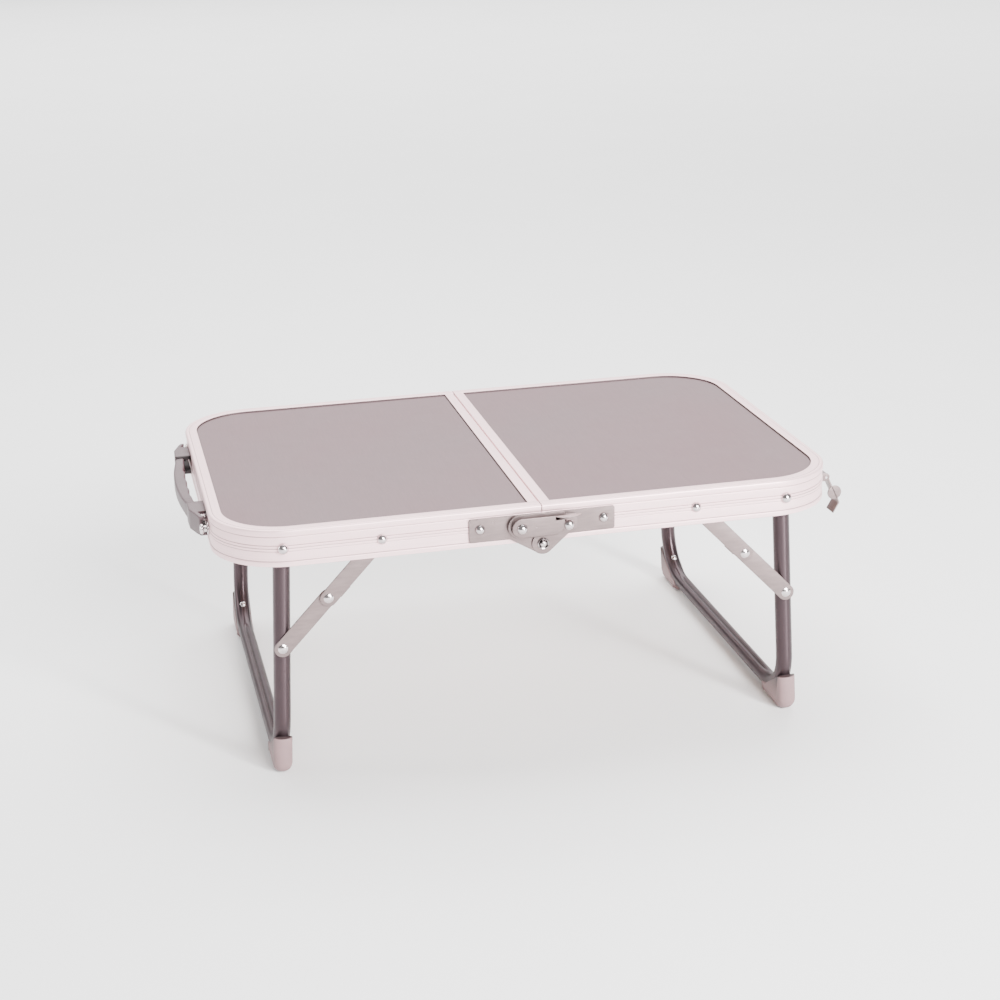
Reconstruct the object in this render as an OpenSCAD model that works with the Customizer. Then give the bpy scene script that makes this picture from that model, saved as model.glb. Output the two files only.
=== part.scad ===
// Folding suitcase table: two rimmed halves hinged at the middle, on two bent-tube leg frames.
// The model stands on the floor at z = 0, its long side along X and its front facing -Y.
// Every repeated piece is drawn for the right half's front corner and mirrored from there.

/* [Table top] */
// Length of the open table, from end to end
table_length = 600; // [580:5:640]
// Width of the table, from front to back
table_width = 400; // [380:5:440]
// Height of the open table above the floor
table_height = 245; // [240:1:262]
// Height of the aluminium rim
rim_height = 35; // [35:0.5:38]
// Outer radius of the rim's rounded corners
corner_radius = 70; // [60:1:80]
// Width of the lip that holds the top sheet
lip_width = 12; // [11:0.5:14]
// Thickness of the board inside the rim
board_thickness = 5.2; // [4.5:0.1:5.4]

/* [Legs] */
// Distance from the table's middle to a leg pivot
leg_pivot_x = 240; // [236:1:244]
// Distance from the centre line to a leg post
leg_post_y = 184; // [183:0.5:184]
// Outer diameter of the leg tube
tube_diameter = 16; // [15:0.5:16]
// Wall of the leg tube
tube_wall = 1.2; // [1:0.1:1.6]
// Radius of the tube's bends, at the tube's centre line
bend_radius = 48; // [44:1:52]
// Angle by which a standing leg leans outwards
leg_splay = 3; // [2:0.5:4]

/* [Stays] */
// Distance from the table's middle to a stay's pivot on the rim
stay_pivot_x = 150; // [148:1:152]
// Distance along the leg from its pivot to the stay's pivot
stay_on_leg = 100; // [98:1:102]
// How much longer the upper strap is than the lower one
stay_difference = 10; // [9:0.25:10]
// Width of the straps
strap_width = 16; // [14:0.5:16]

/* [Hinge] */
// Depth of the hinge pin below the table top
hinge_depth = 36.5; // [36.5:0.5:38]
// Distance from the middle to the outer end of a hinge plate
hinge_plate_end = 69.5; // [66:0.5:74]
// Distance from the middle to the lever's pivot rivet
lever_pivot_x = 21.5; // [20:0.5:23]
// Distance from the middle to the rivet that the lever hooks over
lever_catch_x = 23; // [22:0.5:25]

/* [Carry handle] */
// Distance from the centre line to the outer end of a handle block
handle_end_y = 118; // [112:1:122]
// Distance from the centre line to the inner end of a handle block
grip_end_y = 72; // [68:1:76]

/* [Hidden] */
$fn = 64;

// Play between parts
play = 0.05;
shaft_play = 0.06;

// Rim section, measured inwards from the outermost plane and down from the table top
lip_thickness = 2.4;
band_recess = 0.6;
wall_inset = 1.5;
top_bead = 6.3;
bottom_bead = 4.7;
ridge_top = 15;
ridge_bottom = 20;
flange_thickness = 1.2;
flange_inset = 10;
seam_gap = 0.5;
half_length = table_length / 2;
half_width = table_width / 2;
board_top = lip_thickness + play;
flange_top = board_top + board_thickness + play;
sheet_top = 1.7;
sheet_thickness = lip_thickness - sheet_top;
sheet_margin = 0.4;
strip_lip = 10;
strip_wall = 1.5;
strip_depth = 12;

// Legs
pivot_depth = rim_height / 2;
pivot_z = table_height - pivot_depth;
tube_r = tube_diameter / 2;
post_end_r = tube_r + 0.3;
shoe_below_tube = 3.5;
crossbar_z = shoe_below_tube + tube_r;
crossbar_drop = (pivot_z - crossbar_z) / cos(leg_splay);
shoe_width = 18;
shoe_outer_y = leg_post_y + tube_r + 2;
foot_rivet_start = bend_radius - tube_r - 0.25;
foot_rivet_length = 2 * tube_r + 6;
rivet_r = 2.5;
bore_r = rivet_r + shaft_play;
// How far the rim curves inwards beside a leg rivet, at the start of the corner
corner_fall = 1.8;
bush_r = 4.6;

// Layers between the rim's wall and a leg post, as distances from the centre line
wall_inner_y = half_width - wall_inset;
tube_outer_y = leg_post_y + tube_r;
lower_strap_inner = tube_outer_y + 0.3;
strap_thickness = 1.3;
lower_strap_outer = lower_strap_inner + strap_thickness;
upper_strap_inner = lower_strap_outer + 1.7;
upper_strap_outer = upper_strap_inner + strap_thickness;

// Stay triangle, in the plane x-z with the table top at z = table_height
leg_joint_x = leg_pivot_x + stay_on_leg * sin(leg_splay);
leg_joint_z = pivot_z - stay_on_leg * cos(leg_splay);
stay_run = leg_joint_x - stay_pivot_x;
stay_drop = pivot_z - leg_joint_z;
stay_length = sqrt(stay_run * stay_run + stay_drop * stay_drop);
stay_angle = atan2(stay_drop, stay_run);
upper_length = (stay_length + stay_difference) / 2;
lower_length = (stay_length - stay_difference) / 2;
elbow_x = stay_pivot_x + upper_length * cos(stay_angle);
elbow_z = pivot_z - upper_length * sin(stay_angle);

// Hinge
hinge_z = table_height - hinge_depth;
plate_thickness = 1.4;
plate_top = 6.8;
plate_bottom = rim_height - bottom_bead - 0.3;
lobe_r = 10.6;
plate_rivet_x = 59;
pin_r = 3;
plate_inner_y = half_width + play;
plate_outer_y = plate_inner_y + plate_thickness;
lobe_inner_y = plate_outer_y + 0.1;
lobe_outer_y = lobe_inner_y + plate_thickness;
lever_inner_y = lobe_outer_y + 0.6;
lever_sheet = 1.2;
lever_depth = 8.2;
lever_outer_y = lever_inner_y + lever_depth;
lever_half_height = 9.5;
lever_tab_length = 15;

// Carry handle and case latches on the ends
end_x = half_length;
handle_height = 20;
handle_reach = 16;
tongue_x = end_x + 8;
tongue_width = 5;
tongue_height = 9;
tongue_length = 8;
handle_screw_y = grip_end_y + 26;
latch_y = 125;
latch_pin_x = end_x + 7;
latch_pin_z = table_height - 24;
latch_width = 16;
latch_sheet = 1.5;
latch_lean = 25;
latch_drop = 33;
latch_cheek_drop = 21;

steel_colour = [0.76, 0.74, 0.73];
bright_colour = [0.85, 0.84, 0.83];
rim_colour = [0.90, 0.86, 0.86];
sheet_colour = [0.72, 0.67, 0.67];
tube_colour = [0.50, 0.45, 0.47];
plastic_colour = [0.76, 0.70, 0.71];

// Mirrors a piece drawn at the right half's front corner to another corner
module at_corner(side, face) {
    mirror([side < 0 ? 1 : 0, 0, 0]) mirror([0, face > 0 ? 1 : 0, 0]) children();
}

// Draws a piece at the front and at the back
module front_and_back(side) {
    for (face = [-1, 1]) at_corner(side, face) children();
}

// A straight round bar along Y, between two distances from the centre line, on the front side
module bar_y(x, z, r, inner_y, outer_y) {
    translate([x, -inner_y, z]) rotate([90, 0, 0]) cylinder(r = r, h = outer_y - inner_y);
}

// A domed rivet head whose flat side lies at a distance from the centre line
module dome_y(x, z, r, height, base_y) {
    sphere_r = (r * r + height * height) / (2 * height);
    translate([x, -base_y, z]) rotate([90, 0, 0]) rotate_extrude() intersection() {
        translate([0, height - sphere_r]) circle(r = sphere_r);
        square([r, height]);
    }
}

// Moves a piece drawn about a leg's pivot, with the leg hanging down, to the standing leg
module on_leg() {
    translate([leg_pivot_x, 0, pivot_z]) rotate([0, -leg_splay, 0]) children();
}

// Outline of one half of the top, inset from its edge, from a given distance off the middle
module half_outline(inset, start_x) {
    r = corner_radius - inset;
    corner_x = half_length - corner_radius;
    corner_y = half_width - corner_radius;
    translate([start_x, inset - half_width]) square([corner_x - start_x, 2 * (half_width - inset)]);
    translate([corner_x - 1, -corner_y]) square([half_length - inset - corner_x + 1, 2 * corner_y]);
    for (s = [-1, 1]) translate([corner_x, s * corner_y]) circle(r = r, $fn = 96);
}

// One layer of the rim, between two depths and two insets
module rim_layer(top, bottom, outer, inner) {
    translate([0, 0, table_height - bottom]) linear_extrude(bottom - top) difference() {
        half_outline(outer, seam_gap);
        half_outline(inner, -1);
    }
}

module rim(side) {
    bead_bottom = rim_height - bottom_bead;
    color(rim_colour) at_corner(side, -1) difference() {
        union() {
            rim_layer(0, lip_thickness, 0, lip_width);
            rim_layer(lip_thickness, top_bead, 0, wall_inset);
            rim_layer(top_bead, ridge_top, band_recess, wall_inset);
            rim_layer(ridge_top, ridge_bottom, 0, wall_inset);
            rim_layer(ridge_bottom, bead_bottom, band_recess, wall_inset);
            rim_layer(bead_bottom, rim_height, 0, wall_inset);
            rim_layer(flange_top, flange_top + flange_thickness, wall_inset - 0.4, flange_inset);
        }
        for (face = [-1, 1]) at_corner(1, face) {
            for (x = [leg_pivot_x, stay_pivot_x, plate_rivet_x]) rivet_hole(x);
            rivet_hole(side < 0 ? lever_pivot_x : lever_catch_x);
            bar_y(0, hinge_z, lobe_r - 3, wall_inner_y - 1, half_width + 1);
            if (side < 0) translate([end_x - 4, -handle_screw_y, pivot_z]) rotate([0, 90, 0])
                cylinder(r = 2.05, h = 6);
        }
    }
}

module rivet_hole(x) {
    bar_y(x, pivot_z, bore_r, wall_inner_y - corner_fall - 1, half_width + 1);
}

module seam_strip(side) {
    span = 2 * (half_width - lip_width - play);
    color(rim_colour) at_corner(side, -1) translate([seam_gap, -span / 2, table_height]) {
        translate([0, 0, -lip_thickness]) cube([strip_lip, span, lip_thickness]);
        translate([0, 0, -strip_depth]) cube([strip_wall, span, strip_depth]);
        translate([0, 0, -flange_top - flange_thickness]) cube([strip_lip, span - 2, flange_thickness]);
    }
}

module board(side) {
    color("tan") at_corner(side, -1) translate([0, 0, table_height - board_top - board_thickness])
        linear_extrude(board_thickness) half_outline(wall_inset + play, seam_gap + strip_wall + play);
}

module top_sheet(side) {
    start_x = seam_gap + strip_lip + sheet_margin;
    color(sheet_colour) at_corner(side, -1) translate([0, 0, table_height - lip_thickness])
        linear_extrude(sheet_thickness) half_outline(lip_width + sheet_margin, start_x);
}

// The bent tube's centre line carried by a round section of radius r, from the crossbar to the posts
module leg_tube(r) {
    straight = crossbar_drop - bend_radius;
    corner_y = leg_post_y - bend_radius;
    for (face = [0, 1]) mirror([0, face, 0]) {
        translate([0, leg_post_y, -straight]) cylinder(r = r, h = straight);
        translate([0, corner_y, -straight]) rotate([-90, 0, 90])
            rotate_extrude(angle = 90) translate([bend_radius, 0]) circle(r = r);
    }
    translate([0, corner_y, -crossbar_drop]) rotate([90, 0, 0]) cylinder(r = r, h = 2 * corner_y);
}

// The rounded end of a post above its pivot
module post_tip(r) {
    for (s = [-1, 1]) translate([0, s * leg_post_y, 0]) intersection() {
        cylinder(r = r, h = post_end_r);
        translate([0, tube_r + 1, 0]) rotate([90, 0, 0]) cylinder(r = post_end_r, h = 2 * tube_r + 2);
    }
}

module leg_frame(side) {
    color(tube_colour) at_corner(side, -1) on_leg() difference() {
        union() {
            leg_tube(tube_r);
            post_tip(tube_r);
        }
        leg_tube(tube_r - tube_wall);
        for (s = [-1, 1]) translate([0, s * leg_post_y, -play])
            cylinder(r = tube_r - tube_wall, h = post_end_r + 1);
        for (depth = [0, stay_on_leg], s = [-1, 1])
            translate([0, s * leg_post_y, -depth]) rotate([90, 0, 0])
                cylinder(r = bore_r, h = 2 * tube_r + 2, center = true);
        foot_rivet_holes();
    }
}

// From the middle of both bends outwards, along the line that halves each bend
module in_both_bends() {
    for (s = [-1, 1]) translate([0, s * (leg_post_y - bend_radius), bend_radius - crossbar_drop])
        rotate([-135 * s, 0, 0]) children();
}

// Small holes through both walls of each bend and into its shoe
module foot_rivet_holes() {
    in_both_bends() translate([0, 0, foot_rivet_start - 1])
        cylinder(r = 1.55, h = foot_rivet_length + 1.1);
}

module leg_end_plugs(side) {
    plug_r = tube_r - tube_wall - play;
    color("dimgray") at_corner(side, -1) on_leg() for (s = [-1, 1])
        translate([0, s * leg_post_y, 0]) difference() {
            intersection() {
                translate([0, 0, -12]) cylinder(r = plug_r, h = 24);
                union() {
                    rotate([90, 0, 0]) cylinder(r = post_end_r, h = 2 * tube_r, center = true);
                    translate([-tube_r, -tube_r, -12]) cube([2 * tube_r, 2 * tube_r, 12]);
                }
            }
            rotate([90, 0, 0]) cylinder(r = bore_r, h = 2 * tube_r + 2, center = true);
        }
}

// A shoe that wraps the outside of a bend and stands on the floor
module foot(side, face) {
    corner_r = 12;
    heel_y = leg_post_y - bend_radius + 4;
    shoe_top = 37;
    heel_height = 11;
    base_w = crossbar_drop + tube_r + shoe_below_tube + 2;
    side_w = crossbar_drop + tube_r + shoe_below_tube - shoe_top;
    color(plastic_colour) at_corner(side, face) intersection() {
        on_leg() difference() {
            translate([-shoe_width / 2, 0, 0]) rotate([90, 0, 90]) linear_extrude(shoe_width) union() {
                polygon([
                    [-shoe_outer_y, -side_w], [-shoe_outer_y, corner_r - base_w],
                    [corner_r - shoe_outer_y, -base_w], [-heel_y, -base_w],
                    [-heel_y, heel_height - base_w], [6 - shoe_outer_y, -side_w]
                ]);
                translate([corner_r - shoe_outer_y, corner_r - base_w]) circle(r = corner_r);
            }
            leg_tube(tube_r + play);
            foot_rivet_holes();
        }
        translate([leg_pivot_x - 100, -half_width, 0]) cube([200, half_width, 60]);
    }
}

// The rivets that hold the shoes, with their heads inside the bends
module foot_rivets(side) {
    color(bright_colour) at_corner(side, -1) on_leg() in_both_bends()
        translate([0, 0, foot_rivet_start]) {
            cylinder(r = 1.5, h = foot_rivet_length);
            rotate([180, 0, 0]) cylinder(r1 = 3.2, r2 = 2, h = 1.3);
        }
}

module leg_rivets(side) {
    color(bright_colour) front_and_back(side) {
        dome_y(leg_pivot_x, pivot_z, 5.2, 3.8, half_width + play);
        bar_y(leg_pivot_x, pivot_z, rivet_r, leg_post_y - tube_r - 1.4, half_width + play);
        bar_y(leg_pivot_x, pivot_z, 4.4, leg_post_y - tube_r - 1.4, leg_post_y - tube_r - 0.2);
    }
}

module leg_bushes(side) {
    color("whitesmoke") front_and_back(side) difference() {
        bar_y(leg_pivot_x, pivot_z, bush_r, tube_outer_y + 0.15, wall_inner_y - corner_fall);
        bar_y(leg_pivot_x, pivot_z, bore_r, tube_outer_y - 1, wall_inner_y + 1);
    }
}

module stay_rivets(side) {
    color(bright_colour) front_and_back(side) {
        dome_y(stay_pivot_x, pivot_z, 5, 3.6, half_width + play);
        bar_y(stay_pivot_x, pivot_z, rivet_r, upper_strap_inner - 1, half_width + play);
        bar_y(stay_pivot_x, pivot_z, 4.2, upper_strap_inner - 1, upper_strap_inner - 0.1);
    }
}

// The spacer between the rim's wall and each upper strap
module stay_washers(side) {
    color(steel_colour) front_and_back(side) difference() {
        bar_y(stay_pivot_x, pivot_z, 6.5, upper_strap_outer + 0.1, wall_inner_y - play);
        bar_y(stay_pivot_x, pivot_z, bore_r, upper_strap_outer - 1, wall_inner_y + 1);
    }
}

// The rivet that holds a lower strap to its leg, with a saddle washer against the tube
module strap_rivets(side) {
    color(bright_colour) front_and_back(side) on_leg() translate([0, 0, -stay_on_leg]) {
        dome_y(0, 0, 4.6, 1.4, lower_strap_outer + play);
        bar_y(0, 0, rivet_r, leg_post_y - tube_r - 0.9, lower_strap_outer + play);
        bar_y(0, 0, 4, leg_post_y - tube_r - 0.9, leg_post_y - tube_r - 0.1);
        difference() {
            bar_y(0, 0, 8.6, tube_outer_y - 2.2, lower_strap_inner - 0.1);
            translate([0, -leg_post_y, -20]) cylinder(r = tube_r + play, h = 40);
            bar_y(0, 0, rivet_r - 0.5, tube_outer_y - 4, tube_outer_y + 4);
        }
    }
}

// A flat strap with round ends and a bore at each end, from one point to another in the plane x-z
module strap(x1, z1, length, angle, inner_y, outer_y, last_bore) {
    thickness = outer_y - inner_y;
    translate([x1, -inner_y, z1]) rotate([90, -angle, 0]) difference() {
        union() {
            for (x = [0, length]) translate([x, 0, 0]) cylinder(r = strap_width / 2, h = thickness);
            translate([0, -strap_width / 2, 0]) cube([length, strap_width, thickness]);
        }
        translate([0, 0, -1]) cylinder(r = bore_r, h = thickness + 2);
        if (last_bore) translate([length, 0, -1]) cylinder(r = bore_r, h = thickness + 2);
    }
}

module upper_strap(side, face) {
    tab_length = 13;
    tab_from = upper_length - 8;
    color(steel_colour) at_corner(side, face) {
        strap(stay_pivot_x, pivot_z, upper_length, -stay_angle, upper_strap_inner, upper_strap_outer, true);
        translate([stay_pivot_x, -upper_strap_inner, pivot_z]) rotate([90, stay_angle, 0])
            translate([tab_from - tab_length, -strap_width / 2, -1.4]) cube([tab_length, strap_thickness, 2]);
    }
}

module lower_strap(side, face) {
    turn = 180 - stay_angle;
    color(steel_colour) at_corner(side, face)
        strap(leg_joint_x, leg_joint_z, lower_length, turn, lower_strap_inner, lower_strap_outer, false);
}

// The rivet at a stay's elbow, with its washer in the gap between the straps
module elbow_rivet(side, face) {
    color(bright_colour) at_corner(side, face) {
        dome_y(elbow_x, elbow_z, 4.6, wall_inner_y - upper_strap_outer - 0.3, upper_strap_outer + play);
        bar_y(elbow_x, elbow_z, rivet_r, lower_strap_outer + 0.1, upper_strap_outer + play);
        bar_y(elbow_x, elbow_z, 5, lower_strap_outer + 0.1, upper_strap_inner - play);
    }
}

// A hinge plate's flat outline in the plane x-z: a bar along the rim, and a lobe round the pin
module plate_bar(start_x) {
    r = 3;
    low = table_height - plate_bottom;
    high = table_height - plate_top;
    translate([start_x, low]) square([hinge_plate_end - start_x - r, high - low]);
    for (z = [low + r, high - r]) translate([hinge_plate_end - r, z]) circle(r = r);
    translate([hinge_plate_end - r - 1, low + r]) square([r + 1, high - low - 2 * r]);
}

module lobe(arm_x) {
    tangent = lobe_r * 0.62;
    translate([0, hinge_z]) circle(r = lobe_r);
    polygon([
        [-tangent * 0.2, hinge_z + lobe_r * 0.98], [tangent * 0.94, hinge_z - lobe_r * 0.81],
        [arm_x + 8, table_height - plate_bottom], [arm_x + 8, table_height - plate_top - 3],
        [arm_x - 12, table_height - plate_top - 3]
    ]);
}

// Raises a plane x-z outline to a slab between two distances from the centre line
module slab_y(inner_y, outer_y) {
    translate([0, -inner_y, 0]) rotate([90, 0, 0]) linear_extrude(outer_y - inner_y) children();
}

module left_hinge_plates() {
    color(steel_colour) front_and_back(-1) difference() {
        slab_y(plate_inner_y, plate_outer_y) union() {
            plate_bar(seam_gap + 0.3);
            lobe(24);
        }
        for (x = [lever_pivot_x, plate_rivet_x]) rivet_bore(x, pivot_z, rivet_r + 0.02);
        rivet_bore(0, hinge_z, pin_r + 0.02);
    }
}

module right_hinge_plates() {
    color(steel_colour) front_and_back(1) difference() {
        union() {
            slab_y(plate_inner_y, plate_outer_y) difference() {
                plate_bar(seam_gap + 0.3);
                translate([0, hinge_z]) circle(r = lobe_r + 0.6);
            }
            slab_y(lobe_inner_y, lobe_outer_y) lobe(24);
            slab_y(plate_outer_y - 0.4, lobe_inner_y + 0.4) intersection() {
                lobe(24);
                translate([lobe_r + 3, table_height - plate_bottom]) square([30, plate_bottom - plate_top]);
            }
        }
        for (x = [lever_catch_x, plate_rivet_x]) rivet_bore(x, pivot_z, rivet_r + 0.02);
        rivet_bore(0, hinge_z, pin_r + shaft_play);
    }
}

module rivet_bore(x, z, r) {
    bar_y(x, z, r, plate_inner_y - 1, lobe_outer_y + 1);
}

// The pins that join the two plates, held by the left plate
module hinge_pins() {
    color(bright_colour) front_and_back(-1) {
        dome_y(0, hinge_z, 5.4, 3, lobe_outer_y + play);
        bar_y(0, hinge_z, pin_r, plate_inner_y - 1.2, lobe_outer_y + play);
        bar_y(0, hinge_z, 5, plate_inner_y - 1.2, plate_inner_y - play);
    }
}

module plate_rivets(side) {
    color(bright_colour) front_and_back(side) {
        dome_y(plate_rivet_x, pivot_z, 4.8, 3.4, plate_outer_y + play);
        bar_y(plate_rivet_x, pivot_z, rivet_r, wall_inner_y - 1, plate_outer_y + play);
        bar_y(plate_rivet_x, pivot_z, 4, wall_inner_y - 1, wall_inner_y - play);
    }
}

module lever_pivots() {
    color(bright_colour) front_and_back(-1) {
        dome_y(lever_pivot_x, pivot_z, 5.2, 3.4, lever_outer_y + 0.1);
        bar_y(lever_pivot_x, pivot_z, rivet_r, wall_inner_y - 1, lever_outer_y + 0.1);
        bar_y(lever_pivot_x, pivot_z, 4, wall_inner_y - 1, wall_inner_y - play);
    }
}

module lever_spacers() {
    color("dimgray") front_and_back(-1) difference() {
        bar_y(lever_pivot_x, pivot_z, 11, plate_outer_y + play, lever_inner_y - 0.1);
        bar_y(lever_pivot_x, pivot_z, rivet_r + 0.02, plate_outer_y - 1, lever_inner_y + 1);
    }
}

// The rivets on the right half that the levers hook over
module lever_catches() {
    color(bright_colour) front_and_back(1) {
        dome_y(lever_catch_x, pivot_z, 5, 3, lever_outer_y + 0.3);
        bar_y(lever_catch_x, pivot_z, rivet_r, wall_inner_y - 1, lobe_outer_y + play);
        bar_y(lever_catch_x, pivot_z, 3.2, lobe_outer_y + play, lever_outer_y + 0.3);
        bar_y(lever_catch_x, pivot_z, 4, wall_inner_y - 1, wall_inner_y - play);
    }
}

// Side outline of a lever, from its round end to the edge beside the catch rivet
module lever_outline() {
    start = -lever_pivot_x;
    end = lever_catch_x - 4.2;
    translate([start, pivot_z]) circle(r = lever_half_height);
    translate([start, pivot_z - lever_half_height]) square([end - start, 2 * lever_half_height]);
}

// The lever is a channel, open on top, with a bent finger tab over the catch rivet
module hinge_lever(face) {
    wall_end = lever_catch_x - 4.2;
    tab_z = pivot_z + lever_half_height;
    color(steel_colour) at_corner(1, face) difference() {
        union() {
            slab_y(lever_inner_y, lever_inner_y + lever_sheet) lever_outline();
            slab_y(lever_outer_y - lever_sheet, lever_outer_y) lever_outline();
            translate([-lever_pivot_x, -lever_outer_y, pivot_z - lever_half_height])
                cube([wall_end + lever_pivot_x, lever_depth, lever_sheet]);
            translate([wall_end - 6, -lever_outer_y, tab_z - 4.4]) cube([lever_tab_length, lever_sheet, 4.4]);
            translate([wall_end - 2, -lever_outer_y - 5, tab_z - lever_sheet])
                cube([lever_tab_length + 4, 5 + lever_sheet, lever_sheet]);
        }
        bar_y(-lever_pivot_x, pivot_z, bore_r, lever_inner_y - 1, lever_outer_y + 1);
    }
}

// A handle block, tapering from the grip to its outer end, with a pocket for the grip's tongue
module handle_block(face) {
    low = pivot_z - handle_height / 2;
    color(plastic_colour) at_corner(-1, face) difference() {
        translate([0, 0, low]) linear_extrude(handle_height) polygon([
            [end_x + play, -grip_end_y], [end_x + handle_reach - 3, -grip_end_y],
            [end_x + handle_reach, -grip_end_y - 3], [end_x + handle_reach - 1, -grip_end_y - 22],
            [end_x + 5, -handle_end_y], [end_x + play, -handle_end_y]
        ]);
        translate([end_x + 4, -grip_end_y - 36, low + 3])
            cube([handle_reach, 20, handle_height - 6]);
        translate([tongue_x - play, -grip_end_y - tongue_length, pivot_z - tongue_height / 2 - play])
            cube([tongue_width + 2 * play, tongue_length + 1, tongue_height + 2 * play]);
        translate([end_x - 1, -handle_screw_y, pivot_z]) rotate([0, 90, 0])
            cylinder(r = 2.05, h = handle_reach + 2);
    }
}

// The grip is a bowed bar with a tongue at each end
module handle_grip() {
    grip_height = handle_height - 4;
    end_y = grip_end_y - 0.3;
    reach_y = grip_end_y + tongue_length - 0.5;
    color(plastic_colour) at_corner(-1, -1) {
        translate([0, 0, pivot_z - grip_height / 2]) linear_extrude(grip_height) polygon([
            [end_x + 6, -end_y], [end_x + 15, -end_y], [end_x + 19.5, -40],
            [end_x + 21.5, 0], [end_x + 19.5, 40], [end_x + 15, end_y],
            [end_x + 6, end_y], [end_x + 8, 44], [end_x + 9.5, 0], [end_x + 8, -44]
        ]);
        translate([tongue_x, -reach_y, pivot_z - tongue_height / 2])
            cube([tongue_width, 2 * reach_y, tongue_height]);
    }
}

// The screws that fix the handle's blocks to the rim
module handle_screws() {
    color(bright_colour) for (face = [-1, 1]) at_corner(-1, face)
        translate([end_x - 2.5, -handle_screw_y, pivot_z]) rotate([0, 90, 0]) {
            cylinder(r = 2, h = 7.4);
            translate([0, 0, 6.6]) cylinder(r1 = 3.8, r2 = 2.6, h = 2.2);
        }
}

// The studs on the left end that the case latches hook over
module catch_studs() {
    color(bright_colour) for (face = [-1, 1]) at_corner(-1, face)
        translate([end_x + play, -latch_y, pivot_z]) rotate([0, 90, 0]) rotate_extrude() polygon([
            [0, 0], [6, 0], [6, 1.2], [3, 1.8], [3, 4.6], [5, 5.2], [5, 7], [3.6, 8.2], [0, 8.2]
        ]);
}

// The bracket on the right end that carries a case latch's pin
module latch_brackets() {
    color(steel_colour) front_and_back(1) difference() {
        union() {
            translate([end_x + play, -latch_y - 13, latch_pin_z - 6]) cube([1.5, 26, 17]);
            for (y = [-11, 9.4]) translate([end_x + play, -latch_y + y, latch_pin_z])
                rotate([-90, 0, 0]) linear_extrude(1.6) union() {
                    translate([0, -4]) square([latch_pin_x - end_x, 8]);
                    translate([latch_pin_x - end_x, 0]) circle(r = 4);
                }
        }
        translate([latch_pin_x, -latch_y, latch_pin_z]) rotate([90, 0, 0])
            cylinder(r = 1.55, h = 40, center = true);
    }
}

module latch_pins() {
    color(bright_colour) front_and_back(1) translate([latch_pin_x, -latch_y, latch_pin_z])
        rotate([90, 0, 0]) cylinder(r = 1.5, h = 24, center = true);
}

// The latch hangs from its pin, leans outwards, and ends in a hook bent back inwards
module case_latch(face) {
    cheek = 1.4;
    color(steel_colour) at_corner(1, face) translate([latch_pin_x, -latch_y, latch_pin_z])
        rotate([0, -latch_lean, 0]) difference() {
            union() {
                rotate([90, 0, 0]) cylinder(r = 3.2, h = latch_width, center = true);
                translate([1.7, -latch_width / 2, -latch_drop]) cube([latch_sheet, latch_width, latch_drop]);
                translate([1.7, -latch_width / 2, -latch_drop]) rotate([0, 55, 0])
                    translate([0, 0, -12]) cube([latch_sheet, latch_width, 12.6]);
                translate([2.4, -latch_width / 2 + cheek, -latch_cheek_drop]) rotate([90, 0, 0])
                    cylinder(r = 7.2, h = cheek);
            }
            rotate([90, 0, 0]) cylinder(r = 1.5 + shaft_play, h = latch_width + 2, center = true);
        }
}

rim(-1);  // left_rim
rim(1);  // right_rim
seam_strip(-1);  // left_seam_strip
seam_strip(1);  // right_seam_strip
board(-1);  // left_board
board(1);  // right_board
top_sheet(-1);  // left_top_sheet
top_sheet(1);  // right_top_sheet
leg_frame(-1);  // left_leg_frame
leg_frame(1);  // right_leg_frame
leg_end_plugs(-1);  // left_leg_end_plugs
leg_end_plugs(1);  // right_leg_end_plugs
foot(-1, -1);  // left_front_foot
foot(-1, 1);  // left_back_foot
foot(1, -1);  // right_front_foot
foot(1, 1);  // right_back_foot
foot_rivets(-1);  // left_foot_rivets
foot_rivets(1);  // right_foot_rivets
leg_rivets(-1);  // left_leg_rivets
leg_rivets(1);  // right_leg_rivets
leg_bushes(-1);  // left_leg_bushes
leg_bushes(1);  // right_leg_bushes
stay_rivets(-1);  // left_stay_rivets
stay_rivets(1);  // right_stay_rivets
stay_washers(-1);  // left_stay_washers
stay_washers(1);  // right_stay_washers
strap_rivets(-1);  // left_strap_rivets
strap_rivets(1);  // right_strap_rivets
upper_strap(-1, -1);  // left_front_upper_strap
lower_strap(-1, -1);  // left_front_lower_strap
upper_strap(-1, 1);  // left_back_upper_strap
lower_strap(-1, 1);  // left_back_lower_strap
upper_strap(1, -1);  // right_front_upper_strap
lower_strap(1, -1);  // right_front_lower_strap
upper_strap(1, 1);  // right_back_upper_strap
lower_strap(1, 1);  // right_back_lower_strap
elbow_rivet(-1, -1);  // elbow_rivet_left_front
elbow_rivet(-1, 1);  // elbow_rivet_left_back
elbow_rivet(1, -1);  // elbow_rivet_right_front
elbow_rivet(1, 1);  // elbow_rivet_right_back
left_hinge_plates();
right_hinge_plates();
hinge_pins();
plate_rivets(-1);  // left_plate_rivets
plate_rivets(1);  // right_plate_rivets
lever_pivots();
lever_spacers();
lever_catches();
hinge_lever(-1);  // front_hinge_lever
hinge_lever(1);  // back_hinge_lever
handle_block(-1);  // handle_front_block
handle_block(1);  // handle_back_block
handle_grip();
handle_screws();
catch_studs();
latch_brackets();
latch_pins();
case_latch(-1);  // front_case_latch
case_latch(1);  // back_case_latch
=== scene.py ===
"""Surfaces, finishes and studio for the folding suitcase table.

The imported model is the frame. Shapes are worked out in millimetres in its axes, for the right half's
front corner, and mirrored from there; put() turns them to metres and hangs them on their bodies.
"""

import math

import bmesh
import bpy
import numpy as np
from bpy.props import FloatProperty, FloatVectorProperty, IntProperty, PointerProperty
from mathutils import Matrix, Vector


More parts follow.
